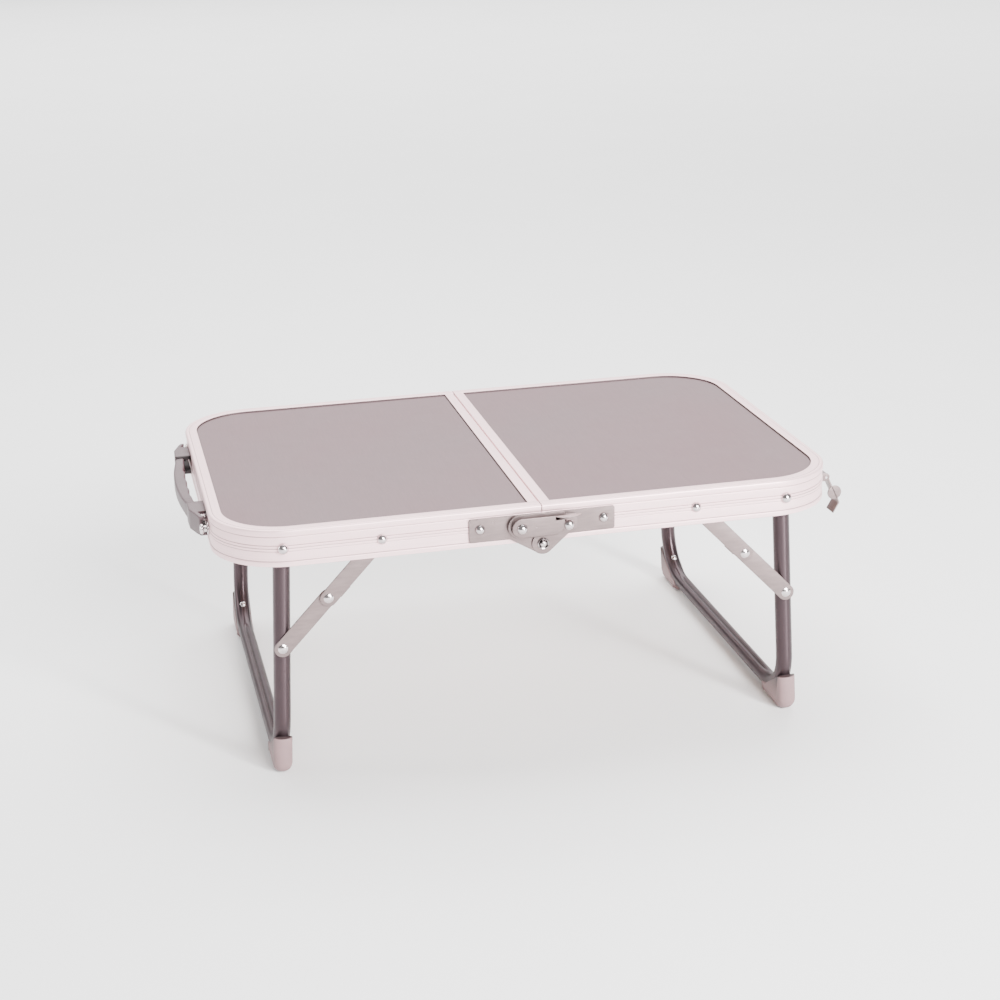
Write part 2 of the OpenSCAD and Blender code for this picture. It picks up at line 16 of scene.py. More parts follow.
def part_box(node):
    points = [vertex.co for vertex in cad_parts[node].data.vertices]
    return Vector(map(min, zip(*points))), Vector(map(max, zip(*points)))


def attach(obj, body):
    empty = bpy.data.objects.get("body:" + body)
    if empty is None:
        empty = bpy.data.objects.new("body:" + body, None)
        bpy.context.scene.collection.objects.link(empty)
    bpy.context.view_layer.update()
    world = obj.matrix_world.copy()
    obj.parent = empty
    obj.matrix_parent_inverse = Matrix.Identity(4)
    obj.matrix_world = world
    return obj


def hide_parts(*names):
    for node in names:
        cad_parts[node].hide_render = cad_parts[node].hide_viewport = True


bl_info = {
    "name": "Folding Suitcase Table",
    "version": (1, 0, 0),
    "blender": (4, 5, 0),
    "location": "View3D > Sidebar > Folding Table",
    "description": "Rims, legs, stays, hinges, handle and latches of a folding suitcase table",
    "category": "Object",
}

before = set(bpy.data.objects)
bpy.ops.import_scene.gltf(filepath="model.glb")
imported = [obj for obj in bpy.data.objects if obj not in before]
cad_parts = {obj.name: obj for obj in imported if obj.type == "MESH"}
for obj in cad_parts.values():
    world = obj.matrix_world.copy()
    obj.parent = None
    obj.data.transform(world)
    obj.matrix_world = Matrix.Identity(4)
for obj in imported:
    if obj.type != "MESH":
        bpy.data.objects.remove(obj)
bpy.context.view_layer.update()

MM = 0.001
SIDES = {"left": -1, "right": 1}
FACES = {"front": 1, "back": -1}


def box_mm(node):
    """Lowest and highest corner of a frame node, in millimetres."""
    return tuple(np.array(corner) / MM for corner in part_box(node))


def middle_mm(node):
    """Middle of a frame node's box, in millimetres."""
    low, high = box_mm(node)
    return (low + high) / 2


# The top: outer planes, its rim's depth and the gap at the middle
SEAM = box_mm("right_rim")[0][0]
HALF_LENGTH, HALF_WIDTH, TOP = box_mm("right_rim")[1]
STRIP_END = box_mm("right_seam_strip")[1][1]
PIVOT_Z = middle_mm("right_leg_bushes")[2]

# Legs, in the plane of a leg frame
LEG_X = middle_mm("right_leg_bushes")[0]
POST_Y = 184.0
TUBE_R = 8.0
TUBE_BORE = 6.8
BORE_DEPTH = 12.0
BEND_R = 48.0
SPLAY = math.radians(3.0)
CROSSBAR_DROP = (PIVOT_Z - 11.5) / math.cos(SPLAY)

# Stays: strap pivots and the layers they lie in, as distances from the centre line
STAY_X = middle_mm("right_stay_washers")[0]
STAY_ON_LEG = 100.0
STRAP_R = 8.0
LOWER_STRAP = (192.3, 193.6)
UPPER_STRAP = (195.3, 196.6)
ELBOW = middle_mm("elbow_rivet_right_front")
LEG_JOINT = (LEG_X + STAY_ON_LEG * math.sin(SPLAY), PIVOT_Z - STAY_ON_LEG * math.cos(SPLAY))

# Centre hinge
PIN_HEAD_R = 5.4
HINGE_Z = box_mm("hinge_pins")[1][2] - PIN_HEAD_R
PLATE = (200.05, 201.45)
LOBE = (201.55, 202.95)
LEVER = (203.55, 211.75)
PLATE_LOW, PLATE_HIGH = TOP - 30.0, TOP - 6.8
PLATE_END = 69.5
LOBE_R = 10.6
LEVER_PIVOT_X = 21.5
LEVER_CATCH_X = 23.0
LEVER_END = LEVER_CATCH_X - 4.2
LEVER_HALF = 9.5
PLATE_RIVET_X = 59.0

# Rivets: where their tails end, as distances from the centre line, and the radius of their shafts
POST_TAIL = 174.6
STRAP_TAIL = 175.1
STAY_TAIL = 194.3
RIM_TAIL = 197.5
SHAFT_R = 2.5

# Carry handle: where its blocks meet the grip, and the thickness of their walls
GRIP_END = 72.0
BLOCK_WALL = 3.0
SCREW_Y = 98.0

# Case latches
LATCH_Y = 125.0
LATCH_PIN = (307.0, 221.0)
LATCH_LEAN = math.radians(25.0)
LATCH_HALF = 8.0

# Painted shade: how dark it makes the edges of straps and plates, slots and hollows, and the colour that it tends to
STRAP_EDGE_SHADE = 0.55
PLATE_EDGE_SHADE = 0.7
SLOT_SHADE = 0.9
HOLLOW_SHADE = 0.93
PAINTED_SHADE_COLOUR = (0.018, 0.012, 0.013, 1)


class TableSizes(bpy.types.PropertyGroup):
    """Shape details that can be changed without touching the frame."""

    corner_radius: FloatProperty(
        name="Corner radius", description="Outer radius of the rim's corners", default=0.070, unit="LENGTH"
    )
    bead_radius: FloatProperty(
        name="Bead radius", description="Rounding of the rim's upper outer edge", default=0.0026, unit="LENGTH"
    )
    sheet_edge: FloatProperty(
        name="Sheet edge", description="Rounding of the pressed steel pieces", default=0.00035, unit="LENGTH"
    )
    crease_depth: FloatProperty(
        name="Crease depth", description="Depth of the groove along the crossbars", default=0.0022, unit="LENGTH"
    )
    grip_waves: IntProperty(name="Grip waves", description="Finger hollows inside the grip", default=4)
    wave_depth: FloatProperty(
        name="Wave depth", description="Depth of the finger hollows", default=0.0013, unit="LENGTH"
    )


def colour_property(name, description, default):
    """A colour that a user can change."""
    return FloatVectorProperty(name=name, description=description, default=default, subtype="COLOR", min=0, max=1)


class TableFinishes(bpy.types.PropertyGroup):
    """Base colours of the finishes."""

    rim: colour_property("Rim", "Satin anodised aluminium", (0.97, 0.67, 0.69))
    top_sheet: colour_property("Top sheet", "Brushed laminate", (0.145, 0.086, 0.094))
    steel: colour_property("Steel", "Bright zinc plate", (0.225, 0.172, 0.169))
    rivet: colour_property("Rivets", "Polished steel", (0.62, 0.56, 0.565))
    leg_paint: colour_property("Leg paint", "Metallic lacquer on the tubes", (0.066, 0.046, 0.051))
    foot: colour_property("Feet", "Moulded plastic of the shoes", (0.25, 0.158, 0.161))
    handle: colour_property("Handle", "Moulded plastic of the handle", (0.10, 0.060, 0.067))
    board: colour_property("Board", "Pressed wood fibre", (0.30, 0.21, 0.15))
    dark: colour_property("Dark plastic", "Spacers and plugs", (0.03, 0.022, 0.025))


class TableStage(bpy.types.PropertyGroup):
    """Camera, lights and floor."""

    camera_place: FloatVectorProperty(
        name="Camera place", description="Where the camera stands", default=(-0.4069, -1.8014, 0.8289),
        subtype="XYZ", unit="LENGTH",
    )
    camera_yaw: FloatProperty(name="Yaw", description="Turn to the right of +Y", default=0.2256, unit="ROTATION")
    camera_pitch: FloatProperty(name="Pitch", description="Tilt downwards", default=0.3366, unit="ROTATION")
    camera_roll: FloatProperty(name="Roll", description="Turn about the view", default=-0.023, unit="ROTATION")
    lens: FloatProperty(name="Lens", description="Focal length on a 36 mm sensor, in mm", default=68.46)
    key_power: FloatProperty(name="Key", description="Power of the front light, in W", default=270.0)
    top_power: FloatProperty(name="Top", description="Power of the overhead light, in W", default=100.0)
    right_power: FloatProperty(name="Right", description="Power of the right light, in W", default=80.0)
    left_power: FloatProperty(name="Left", description="Power of the left light, in W", default=22.0)
    back_power: FloatProperty(name="Back", description="Power of the light behind, in W", default=1300.0)
    sky: FloatProperty(name="Sky", description="Brightness of the surrounding room", default=0.36)
    floor: colour_property("Floor", "Pale floor", (0.93, 0.93, 0.93))


# ---------------------------------------------------------------- outlines


def rounded(corners, radii, steps=5):
    """Closed outline through the corners: each corner becomes an arc of its radius that touches both sides."""
    corners = np.asarray(corners, float)
    radii = np.broadcast_to(np.asarray(radii, float), len(corners))
    parts = []
    for here, before, after, radius in zip(corners, np.roll(corners, 1, 0), np.roll(corners, -1, 0), radii):
        if radius <= 0:
            parts.append(here[None])
            continue
        to_before, to_after = before - here, after - here
        long_before, long_after = np.linalg.norm(to_before), np.linalg.norm(to_after)
        to_before, to_after = to_before / long_before, to_after / long_after
        half = math.acos(float(np.clip(to_before @ to_after, -1, 1))) / 2
        reach = min(radius / math.tan(half), 0.49 * long_before, 0.49 * long_after)
        radius = reach * math.tan(half)
        middle = here + (to_before + to_after) / np.linalg.norm(to_before + to_after) * radius / math.sin(half)
        start, end = here + to_before * reach - middle, here + to_after * reach - middle
        turn = math.atan2(start[0] * end[1] - start[1] * end[0], start @ end)
        angles = np.linspace(0, turn, steps + 1)[:, None]
        across = np.array([-start[1], start[0]])
        parts.append(middle + start * np.cos(angles) + across * np.sin(angles))
    return np.concatenate(parts)


def arc(centre, radius, start, end, steps=20):
    """Points on a circle between two angles in degrees."""
    angles = np.radians(np.linspace(start, end, steps + 1))
    return np.stack([centre[0] + radius * np.cos(angles), centre[1] + radius * np.sin(angles)], -1)


def stadium(start, end, radius, steps=14):
    """Outline of a strap with half-round ends about two points."""
    turn = math.degrees(math.atan2(end[1] - start[1], end[0] - start[0]))
    return np.concatenate([
        arc(end, radius, turn - 90, turn + 90, steps), arc(start, radius, turn + 90, turn + 270, steps)
    ])


def inset_outline(outline, distance):
    """The closed outline moved inwards by a distance, one number or one for each point, along the bisectors."""
    sides = np.roll(outline, -1, 0) - outline
    sides /= np.maximum(np.linalg.norm(sides, axis=1, keepdims=True), 1e-9)
    area = np.sum(outline[:, 0] * np.roll(outline[:, 1], -1) - outline[:, 1] * np.roll(outline[:, 0], -1))
    inward = np.stack([-sides[:, 1], sides[:, 0]], -1) * np.sign(area)
    bisector = inward + np.roll(inward, 1, 0)
    bisector /= np.maximum(np.linalg.norm(bisector, axis=1, keepdims=True), 1e-9)
    miter = np.maximum(np.sum(bisector * inward, 1, keepdims=True), 0.4)
    return outline + bisector / miter * np.broadcast_to(distance, len(outline))[:, None]


# ---------------------------------------------------------------- surfaces: (points, faces, map, painted shade)


def skin(rows, gloom=0.0):
    """Closed surface through rows of points. Each row is a closed profile, quads join neighbouring rows, and
    flat faces close the first and last. The map runs along the path, then round the profile, in metres. The
    painted shade, one number or one for each point, darkens creases and hollows that light hardly reaches."""
    count, wide = rows.shape[:2]
    loop = np.concatenate([rows, rows[:, :1]], 1)
    across = np.linalg.norm(np.diff(loop, axis=1), axis=2).max(0)
    across = np.concatenate([[0], np.cumsum(across)]) * MM
    along = np.linalg.norm(np.diff(rows.mean(1), axis=0), axis=1)
    along = np.concatenate([[0], np.cumsum(along)]) * MM
    i, j = (part.ravel() for part in np.mgrid[0 : count - 1, 0:wide])
    near, far, right = i * wide, (i + 1) * wide, (j + 1) % wide
    quads = np.stack([near + j, far + j, far + right, near + right], -1)
    spread = [along[i], across[j], along[i + 1], across[j], along[i + 1], across[j + 1], along[i], across[j + 1]]
    ends = [list(range(wide)), list(range((count - 1) * wide, count * wide))]
    end_map = [np.stack([np.full(wide, along[k]), across[:wide]], -1) for k in (0, -1)]
    uv = np.concatenate([np.stack(spread, -1).reshape(-1, 2), *end_map])
    return rows.reshape(-1, 3), quads.tolist() + ends, uv, np.broadcast_to(gloom, rows.shape[:2]).ravel()


def swept(stations, outward, profile, gloom):
    """A profile of (inset, depth) pairs carried along a level path: inset goes inwards, depth goes down."""
    rows = np.empty((len(stations), len(profile), 3))
    rows[:, :, :2] = stations[:, None] - outward[:, None] * profile[None, :, :1]
    rows[:, :, 2] = TOP - profile[None, :, 1]
    return skin(rows, gloom)


def slab(outline, low, high, edge, axis="y", steps=4, gloom=0.0):
    """A flat piece: the outline between two planes square to an axis, its edges turned by quarter circles.
    Along each edge the outline is inset by edge * (1 - cos a) where it stands edge * (1 - sin a) off the plane.
    Axis y takes (x, z) outlines and planes given as distances towards the front; x takes (y, z), z takes (x, y).
    The painted shade is that of the edge, and fades over its rounding."""
    edge = np.broadcast_to(edge, len(outline))
    angles = np.linspace(math.pi / 2, 0, steps + 1)
    rings = [(inset_outline(outline, edge * (1 - math.cos(a))), edge * (1 - math.sin(a))) for a in angles]
    flat = [ring for ring, _ in rings] + [ring for ring, _ in rings[::-1]]
    level = [low + off for _, off in rings] + [high - off for _, off in rings[::-1]]
    flat, level = np.array(flat), np.array(level)
    order = {"y": (flat[..., 0], -level, flat[..., 1]), "x": (level, flat[..., 0], flat[..., 1])}
    order["z"] = (flat[..., 0], flat[..., 1], level)
    shade = gloom * np.cos(angles)
    return skin(np.stack(order[axis], -1), np.concatenate([shade, shade[::-1]])[:, None])


def turned(profile, centre, axis="y", steps=36, gloom=0.0):
    """A (distance, radius) profile turned about a line square to the rim: y through (x, z), x through (y, z)."""
    profile = np.asarray(profile, float)
    angles = np.arange(steps) * 2 * math.pi / steps
    one = centre[0] + profile[:, 1:] * np.cos(angles)
    two = centre[1] + profile[:, 1:] * np.sin(angles)
    distance = np.broadcast_to(profile[:, :1], one.shape)
    order = {"y": (one, -distance, two), "x": (distance, one, two)}
    return skin(np.stack(order[axis], -1), np.reshape(gloom, (-1, 1)))


def dome(base, radius, height, steps=9):
    """Profile of a rivet head from its flat side to its crown, with a small land at the foot."""
    ball = (radius**2 + height**2) / (2 * height)
    start = math.asin(min(1.0, radius / ball))
    if height > radius:
        start = math.pi - start
    angles = np.linspace(start, 0, steps)
    return [(base, radius - 0.15)] + [
        (base + height - ball + ball * math.cos(a), ball * math.sin(a)) for a in angles
    ]


def rivet(tail, tail_r, shaft_r, base, head_r, head_h, tail_thick=1.1):
    """Profile of a whole rivet, from its flat tail through its shaft to its domed head."""
    return [
        (tail, 0), (tail, tail_r - 0.3), (tail + 0.3, tail_r), (tail + tail_thick, tail_r),
        (tail + tail_thick, shaft_r), (base, shaft_r), *dome(base, head_r, head_h)
    ]


def moved(surface, rule):
    """The surface with its points passed through a rule."""
    return rule(surface[0]), *surface[1:]


def as_list(surfaces):
    return surfaces if isinstance(surfaces, list) else [surfaces]


def at_corner(surfaces, side, face):
    """One surface or a list of them, mirrored from the right half's front corner to another corner."""
    return [(points * np.array([side, face, 1.0]), *rest) for points, *rest in as_list(surfaces)]


def at_faces(surfaces, side):
    """The surfaces at the front and the back corner of a side."""
    return at_corner(surfaces, side, FACES["front"]) + at_corner(surfaces, side, FACES["back"])


def on_leg(points):
    """From a leg hanging straight down below its pivot to the standing leg, splayed outwards."""
    x, z = points[:, 0], points[:, 2]
    return np.stack([
        LEG_X + x * math.cos(SPLAY) - z * math.sin(SPLAY), points[:, 1],
        PIVOT_Z + x * math.sin(SPLAY) + z * math.cos(SPLAY)
    ], -1)


def put(name, surfaces, body, slot, replaced, sharp=38):
    """Makes one object of closed surfaces, in metres, with the slot's finish, and hangs it on a body in the place
    of frame nodes. Edges sharper than an angle in degrees stay hard."""
    points, parts, maps, painted_shades = zip(*as_list(surfaces))
    starts = np.cumsum([0] + [len(part) for part in points])
    faces = [[start + v for v in face] for start, part in zip(starts, parts) for face in part]
    mesh = bpy.data.meshes.new(name)
    mesh.from_pydata(np.concatenate(points) * MM, [], faces)
    mesh.uv_layers.new(name="Along").data.foreach_set("uv", np.concatenate(maps).ravel())
    # Each point's painted shade, kept as an attribute that darkens the base colour
    shade = mesh.attributes.new("gloom", "FLOAT", "POINT")
    shade.data.foreach_set("value", np.concatenate(painted_shades).astype(np.float32))
    shape = bmesh.new()
    shape.from_mesh(mesh)
    bmesh.ops.remove_doubles(shape, verts=shape.verts, dist=1e-7)
    bmesh.ops.recalc_face_normals(shape, faces=shape.faces)
    shape.to_mesh(mesh)
    shape.free()
    mesh.shade_smooth()
    mesh.set_sharp_from_angle(angle=math.radians(sharp))
    mesh.materials.append(finish(slot))
    piece = bpy.data.objects.new(name, mesh)
    bpy.context.scene.collection.objects.link(piece)
    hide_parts(*replaced)
    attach(piece, body)


def dress(slot, *nodes):
    """Gives frame nodes that stay as they are the slot's finish."""
    for name in nodes:
        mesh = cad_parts[name].data
        mesh.materials.clear()
        mesh.materials.append(finish(slot))


# ---------------------------------------------------------------- finishes


class Wiring:
    """A material with its shader, and short ways to add textures to it."""

    def __init__(self, name, colour, metallic, roughness):
        self.material = bpy.data.materials.new(name)
        self.material.use_nodes = True
        self.tree = self.material.node_tree
        self.shader = self.tree.nodes["Principled BSDF"]
        self.colour = tuple(colour)
        self.shader.inputs["Metallic"].default_value = metallic
        self.shader.inputs["Roughness"].default_value = roughness
        # Painted shade: the base colour is mixed towards a dark colour by each point's painted-shade attribute
        self.shade = self.add("ShaderNodeMix", data_type="RGBA")
        gloom = self.add("ShaderNodeAttribute", attribute_name="gloom").outputs["Fac"]
        self.tree.links.new(gloom, self.shade.inputs["Factor"])
        self.shade.inputs["A"].default_value = (*colour, 1)
        self.shade.inputs["B"].default_value = PAINTED_SHADE_COLOUR
        self.tree.links.new(self.shade.outputs["Result"], self.shader.inputs["Base Color"])

    def add(self, kind, inputs=None, **settings):
        """A node with its settings; an input is given a value, or the socket that feeds it."""
        node = self.tree.nodes.new(kind)
        for key, value in settings.items():
            setattr(node, key, value)
        for key, value in (inputs or {}).items():
            if isinstance(value, bpy.types.NodeSocket):
                self.tree.links.new(value, node.inputs[key])
            else:
                node.inputs[key].default_value = value
        return node

    def noise(self, stretch, scale=1.0, detail=4.0, rough=0.55, mapped=False):
        """Noise stretched by one or three factors, on Object coordinates or on the piece's own map."""
        stretch = tuple(np.broadcast_to(stretch, 3))
        where = self.add("ShaderNodeTexCoord").outputs["UV" if mapped else "Object"]
        mapping = self.add("ShaderNodeMapping", {"Vector": where, "Scale": stretch})
        vector = {"Vector": mapping.outputs["Vector"], "Scale": scale, "Detail": detail, "Roughness": rough}
        return self.add("ShaderNodeTexNoise", vector).outputs["Fac"]

    def ramp(self, height, low, high, start=0.3, end=0.7):
        """The texture's middle range brought to a range of values."""
        limits = {"Value": height, "From Min": start, "From Max": end, "To Min": low, "To Max": high}
        return self.add("ShaderNodeMapRange", limits).outputs["Result"]

    def tint(self, height, darker, lighter, start=0.3, end=0.7):
        """Base colour between a darker and a lighter shade of the finish."""
        shades = [(*(min(1.0, part * factor) for part in self.colour), 1) for factor in (darker, lighter)]
        mix = self.add("ShaderNodeMix", data_type="RGBA")
        self.tree.links.new(self.ramp(height, 0, 1, start, end), mix.inputs["Factor"])
        mix.inputs["A"].default_value, mix.inputs["B"].default_value = shades
        self.tree.links.new(mix.outputs["Result"], self.shade.inputs["A"])

    def gloss(self, height, low, high):
        """Roughness between two values."""
        self.tree.links.new(self.ramp(height, low, high), self.shader.inputs["Roughness"])

    def bump(self, height, strength, distance):
        """Relief of a strength, for a texture whose full range is a distance in metres."""
        node = self.add("ShaderNodeBump", {"Height": height, "Strength": strength, "Distance": distance})
        self.tree.links.new(node.outputs["Normal"], self.shader.inputs["Normal"])


def aluminium(name, colour):
    """Extruded and anodised: fine die lines along the section, faint cloudiness."""
    w = Wiring(name, colour, 0.45, 0.42)
    lines = w.noise((3.0, 2400.0, 1.0), detail=3.0, mapped=True)
    w.bump(lines, 0.22, 0.0002)
    w.gloss(lines, 0.36, 0.50)
    w.tint(w.noise((3.0, 420.0, 1.0), detail=5.0, mapped=True), 0.93, 1.05)
    return w.material


def brushed_sheet(name, colour):
    """Short brush strokes across the table over soft, uneven clouds, such as wiping leaves."""
    w = Wiring(name, colour, 0.35, 0.46)
    strokes = w.noise((1900.0, 34.0, 1.0), detail=4.0, rough=0.65)
    w.bump(strokes, 0.10, 0.0001)
    clouds = w.noise((7.0, 5.0, 1.0), detail=6.0, rough=0.62)
    both = w.add("ShaderNodeMath", {0: clouds, 1: strokes}, operation="ADD").outputs[0]
    w.tint(both, 0.86, 1.13, 0.72, 1.28)
    w.gloss(clouds, 0.36, 0.56)
    return w.material


def zinc_steel(name, colour):
    """Rolled steel under bright zinc: fine rolling lines and soft spangle patches."""
    w = Wiring(name, colour, 0.78, 0.34)
    lines = w.noise((70.0, 70.0, 1500.0), detail=3.0)
    w.bump(lines, 0.14, 0.0001)
    patches = w.noise(160.0, detail=3.0)
    w.gloss(patches, 0.27, 0.42)
    w.tint(w.noise((60.0, 60.0, 320.0), detail=5.0), 0.88, 1.10)
    return w.material


def polished_steel(name, colour):
    """Rivets: bright, with hair scratches and faint stains."""
    w = Wiring(name, colour, 1.0, 0.18)
    scratches = w.noise((500.0, 2200.0, 500.0), detail=3.0)
    w.bump(scratches, 0.06, 0.0001)
    stains = w.noise(420.0)
    w.tint(stains, 0.88, 1.08)
    w.gloss(stains, 0.13, 0.27)
    return w.material


def leg_lacquer(name, colour):
    """Metallic lacquer on drawn tube: fine flakes, and gloss that spreads along the tube more than round it."""
    w = Wiring(name, colour, 0.85, 0.34)
    flakes = w.noise(2600.0, detail=2.0)
    w.tint(flakes, 0.90, 1.10)
    w.bump(w.noise((3.0, 700.0, 1.0), detail=3.0, mapped=True), 0.05, 0.0001)
    w.gloss(w.noise(60.0, detail=5.0), 0.31, 0.37)
    w.shader.inputs["Anisotropic"].default_value = 0.8
    tangent = w.add("ShaderNodeTangent", direction_type="UV_MAP", uv_map="Along")
    w.tree.links.new(tangent.outputs["Tangent"], w.shader.inputs["Tangent"])
    return w.material


def moulded_plastic(name, colour, roughness):
    """Moulded plastic: fine erosion grain and a little uneven colour."""
    w = Wiring(name, colour, 0.0, roughness)
    grain = w.noise(1500.0, detail=3.0)
    w.bump(grain, 0.28, 0.0002)
    w.gloss(grain, roughness - 0.06, roughness + 0.08)
    w.tint(w.noise(45.0, detail=6.0), 0.92, 1.06)
    return w.material


def fibre_board(name, colour):
    """Pressed wood fibre: mottled brown with short stray fibres."""
    w = Wiring(name, colour, 0.0, 0.72)
    fibres = w.noise((900.0, 260.0, 260.0), detail=6.0, rough=0.7)
    w.tint(fibres, 0.72, 1.22)
    w.bump(fibres, 0.25, 0.0003)
    w.gloss(fibres, 0.62, 0.82)
    return w.material


# Name, maker, colour setting and any further values of each slot's finish
FINISHES = {
    "rim_aluminium": ("anodised_finish", aluminium, "rim"),
    "top_sheet": ("brushed_finish", brushed_sheet, "top_sheet"),
    "board_fibre": ("fibre_finish", fibre_board, "board"),
    "zinc_steel": ("zinc_finish", zinc_steel, "steel"),
    "rivet_steel": ("polished_finish", polished_steel, "rivet"),
    "leg_paint": ("lacquer_finish", leg_lacquer, "leg_paint"),
    "foot_plastic": ("shoe_finish", moulded_plastic, "foot", 0.52),
    "handle_plastic": ("handle_finish", moulded_plastic, "handle", 0.46),
    "dark_plastic": ("dark_finish", moulded_plastic, "dark", 0.45),
}


def finish(slot):
    """The finish of a slot, made once and found by name afterwards."""
    name, make, shade, *more = FINISHES[slot]
    colour = getattr(bpy.context.scene.table_finishes, shade)
    return bpy.data.materials.get(name) or make(name, colour, *more)


# ---------------------------------------------------------------- the top


def half_path():
    """The right half's outer edge from the front seam round both corners to the back seam, and its normals."""
    radius = bpy.context.scene.table_sizes.corner_radius / MM
    middle_x, middle_y = HALF_LENGTH - radius, HALF_WIDTH - radius
    straight = np.linspace(SEAM, middle_x, 6)[:-1]
    front = np.stack([straight, np.full(5, -HALF_WIDTH)], -1)
    angles = np.radians(np.linspace(-90, 0, 33))
    turn = np.stack([np.cos(angles), np.sin(angles)], -1)
    first = np.array([middle_x, -middle_y]) + radius * turn
    quarter = np.concatenate([front, first])
    out = np.concatenate([np.tile([0.0, -1.0], (5, 1)), turn])
    flip = np.array([1.0, -1.0])
    return np.concatenate([quarter, quarter[::-1] * flip]), np.concatenate([out, out[::-1] * flip])


def near(points, centres, reach):
    """Painted shade round some centres: the largest exp(-(distance / reach)^2)."""
    away = np.linalg.norm(points[:, None] - np.array(centres)[None], axis=2)
    return np.exp(-((away / reach) ** 2)).max(1)


def rim_profile():
    """The extrusion's section, clockwise from the lip's inner edge: lip, bead, band, ridge, band, bead, wall,
    ledge under the board, and the lip's underside. Grooves and the lip's inner edge get painted shade."""
    bead = bpy.context.scene.table_sizes.bead_radius / MM
    shape = [
        (12.0, 0.0, 0.5), (4.3, 0.0, 0.2), (4.0, 0.4, 0.1), (3.6, 0.0, 0.4), (0.0, 0.0, bead),
        (0.0, 5.9, 1.2), (0.9, 6.6, 0.15), (0.5, 7.2, 0.4), (0.5, 14.3, 0.3), (0.9, 14.8, 0.1),
        (0.05, 15.2, 0.4), (0.05, 17.0, 0.3), (0.6, 17.5, 0.1), (0.05, 18.0, 0.3), (0.05, 19.8, 0.4),
        (0.9, 20.3, 0.1), (0.5, 20.8, 0.3), (0.5, 29.3, 0.3), (0.9, 29.9, 0.15), (0.0, 30.6, 1.0),
        (0.0, 35.0, 0.7), (1.5, 35.0, 0.5), (1.5, 8.9, 0.3), (10.0, 8.9, 0.5), (10.0, 7.7, 0.5),
        (1.5, 7.7, 0.1), (1.5, 2.4, 0.1), (12.0, 2.4, 0.5),
    ]
    points = rounded([corner[:2] for corner in shape], [corner[2] for corner in shape], 4)
    # Painted shade: dark lines in the grooves and along the lip's inner edge
    grooves = near(points, [(4.0, 0.4), (0.9, 6.6), (0.9, 14.8), (0.6, 17.5), (0.9, 20.3), (0.9, 29.9)], 0.3)
    return points, np.maximum(0.72 * grooves, SLOT_SHADE * (points[:, 0] > 11.85))


class TABLE_OT_rims(bpy.types.Operator):
    """Carry the rim's section round each half, and the seam strips' section across the middle"""

    bl_idname = "table.rims"
    bl_label = "Rims and Seam Strips"

    def execute(self, context):
        strip = rounded(
            [(-10.5, 0), (-0.5, 0), (-0.5, 12), (-2, 12), (-2, 8.9), (-10.5, 8.9), (-10.5, 7.7), (-2, 7.7),
             (-2, 2.4), (-10.5, 2.4)],
            [0.7, 1.1, 0.3, 0.3, 0.2, 0.4, 0.4, 0.1, 0.1, 0.3],
        )
        # Painted shade on the strip's edge that stands above the top sheet
        inside = SLOT_SHADE * (strip[:, 0] < -10.35)
        stations = np.array([[0.0, -STRIP_END], [0.0, STRIP_END]])
        outward = np.array([[1.0, 0.0], [1.0, 0.0]])
        for side, sign in SIDES.items():
            rim = at_corner(swept(*half_path(), *rim_profile()), sign, 1)
            put(f"{side}_rim_extrusion", rim, f"{side}_top", "rim_aluminium", [f"{side}_rim"], 30)
            edge = at_corner(swept(stations, outward, strip, inside), sign, 1)
            put(f"{side}_seam_extrusion", edge, f"{side}_top", "rim_aluminium", [f"{side}_seam_strip"], 30)
        return {"FINISHED"}


class TABLE_OT_panels(bpy.types.Operator):
    """Give the top sheets, the boards and the hidden plastic pieces their finishes"""

    bl_idname = "table.panels"
    bl_label = "Sheets and Boards"

    def execute(self, context):
        for side in SIDES:
            dress("top_sheet", f"{side}_top_sheet")
            dress("board_fibre", f"{side}_board")
            dress("dark_plastic", f"{side}_leg_end_plugs", f"{side}_leg_bushes")
            dress("zinc_steel", f"{side}_stay_washers")
        return {"FINISHED"}


# ---------------------------------------------------------------- legs


def leg_path():
    """Centre line of a leg frame from one pivot to the other, in (y, z), and its directions."""
    straight = CROSSBAR_DROP - BEND_R
    middle = POST_Y - BEND_R
    post = np.stack([np.full(6, -POST_Y), np.linspace(0, -straight, 7)[:-1]], -1)
    angles = np.radians(np.linspace(180, 270, 25))
    bend = np.array([-middle, -straight]) + BEND_R * np.stack([np.cos(angles), np.sin(angles)], -1)
    bar = np.stack([np.linspace(-middle, 0, 26)[1:], np.full(25, -CROSSBAR_DROP)], -1)
    half = np.concatenate([post, bend, bar])
    ways = np.concatenate([
        np.tile([0.0, -1.0], (6, 1)), np.stack([-np.sin(angles), np.cos(angles)], -1), np.tile([1.0, 0.0], (25, 1))
    ])
    line = np.concatenate([half, half[-2::-1] * [-1, 1]])
    ways = np.concatenate([ways, ways[-2::-1] * [1, -1]])
    return line, ways


def tube_end(side, angles):
    """Rings that follow a cylinder about the pivot, roll over to the tube's bore and go down it to a floor."""
    rings = []
    for radius, rise in ((TUBE_R, -0.2), (TUBE_R - 0.35, 0.2), (TUBE_BORE + 0.2, 0.2), (TUBE_BORE, -0.2)):
        x, y = radius * np.sin(angles), side * (POST_Y - radius * np.cos(angles))
        rings.append(np.stack([x, y, np.sqrt((TUBE_R + 0.3) ** 2 - x**2) + rise], -1))
    floor = rings[-1] * [1, 1, 0] - [0, 0, BORE_DEPTH]
    return np.array([*rings, floor])


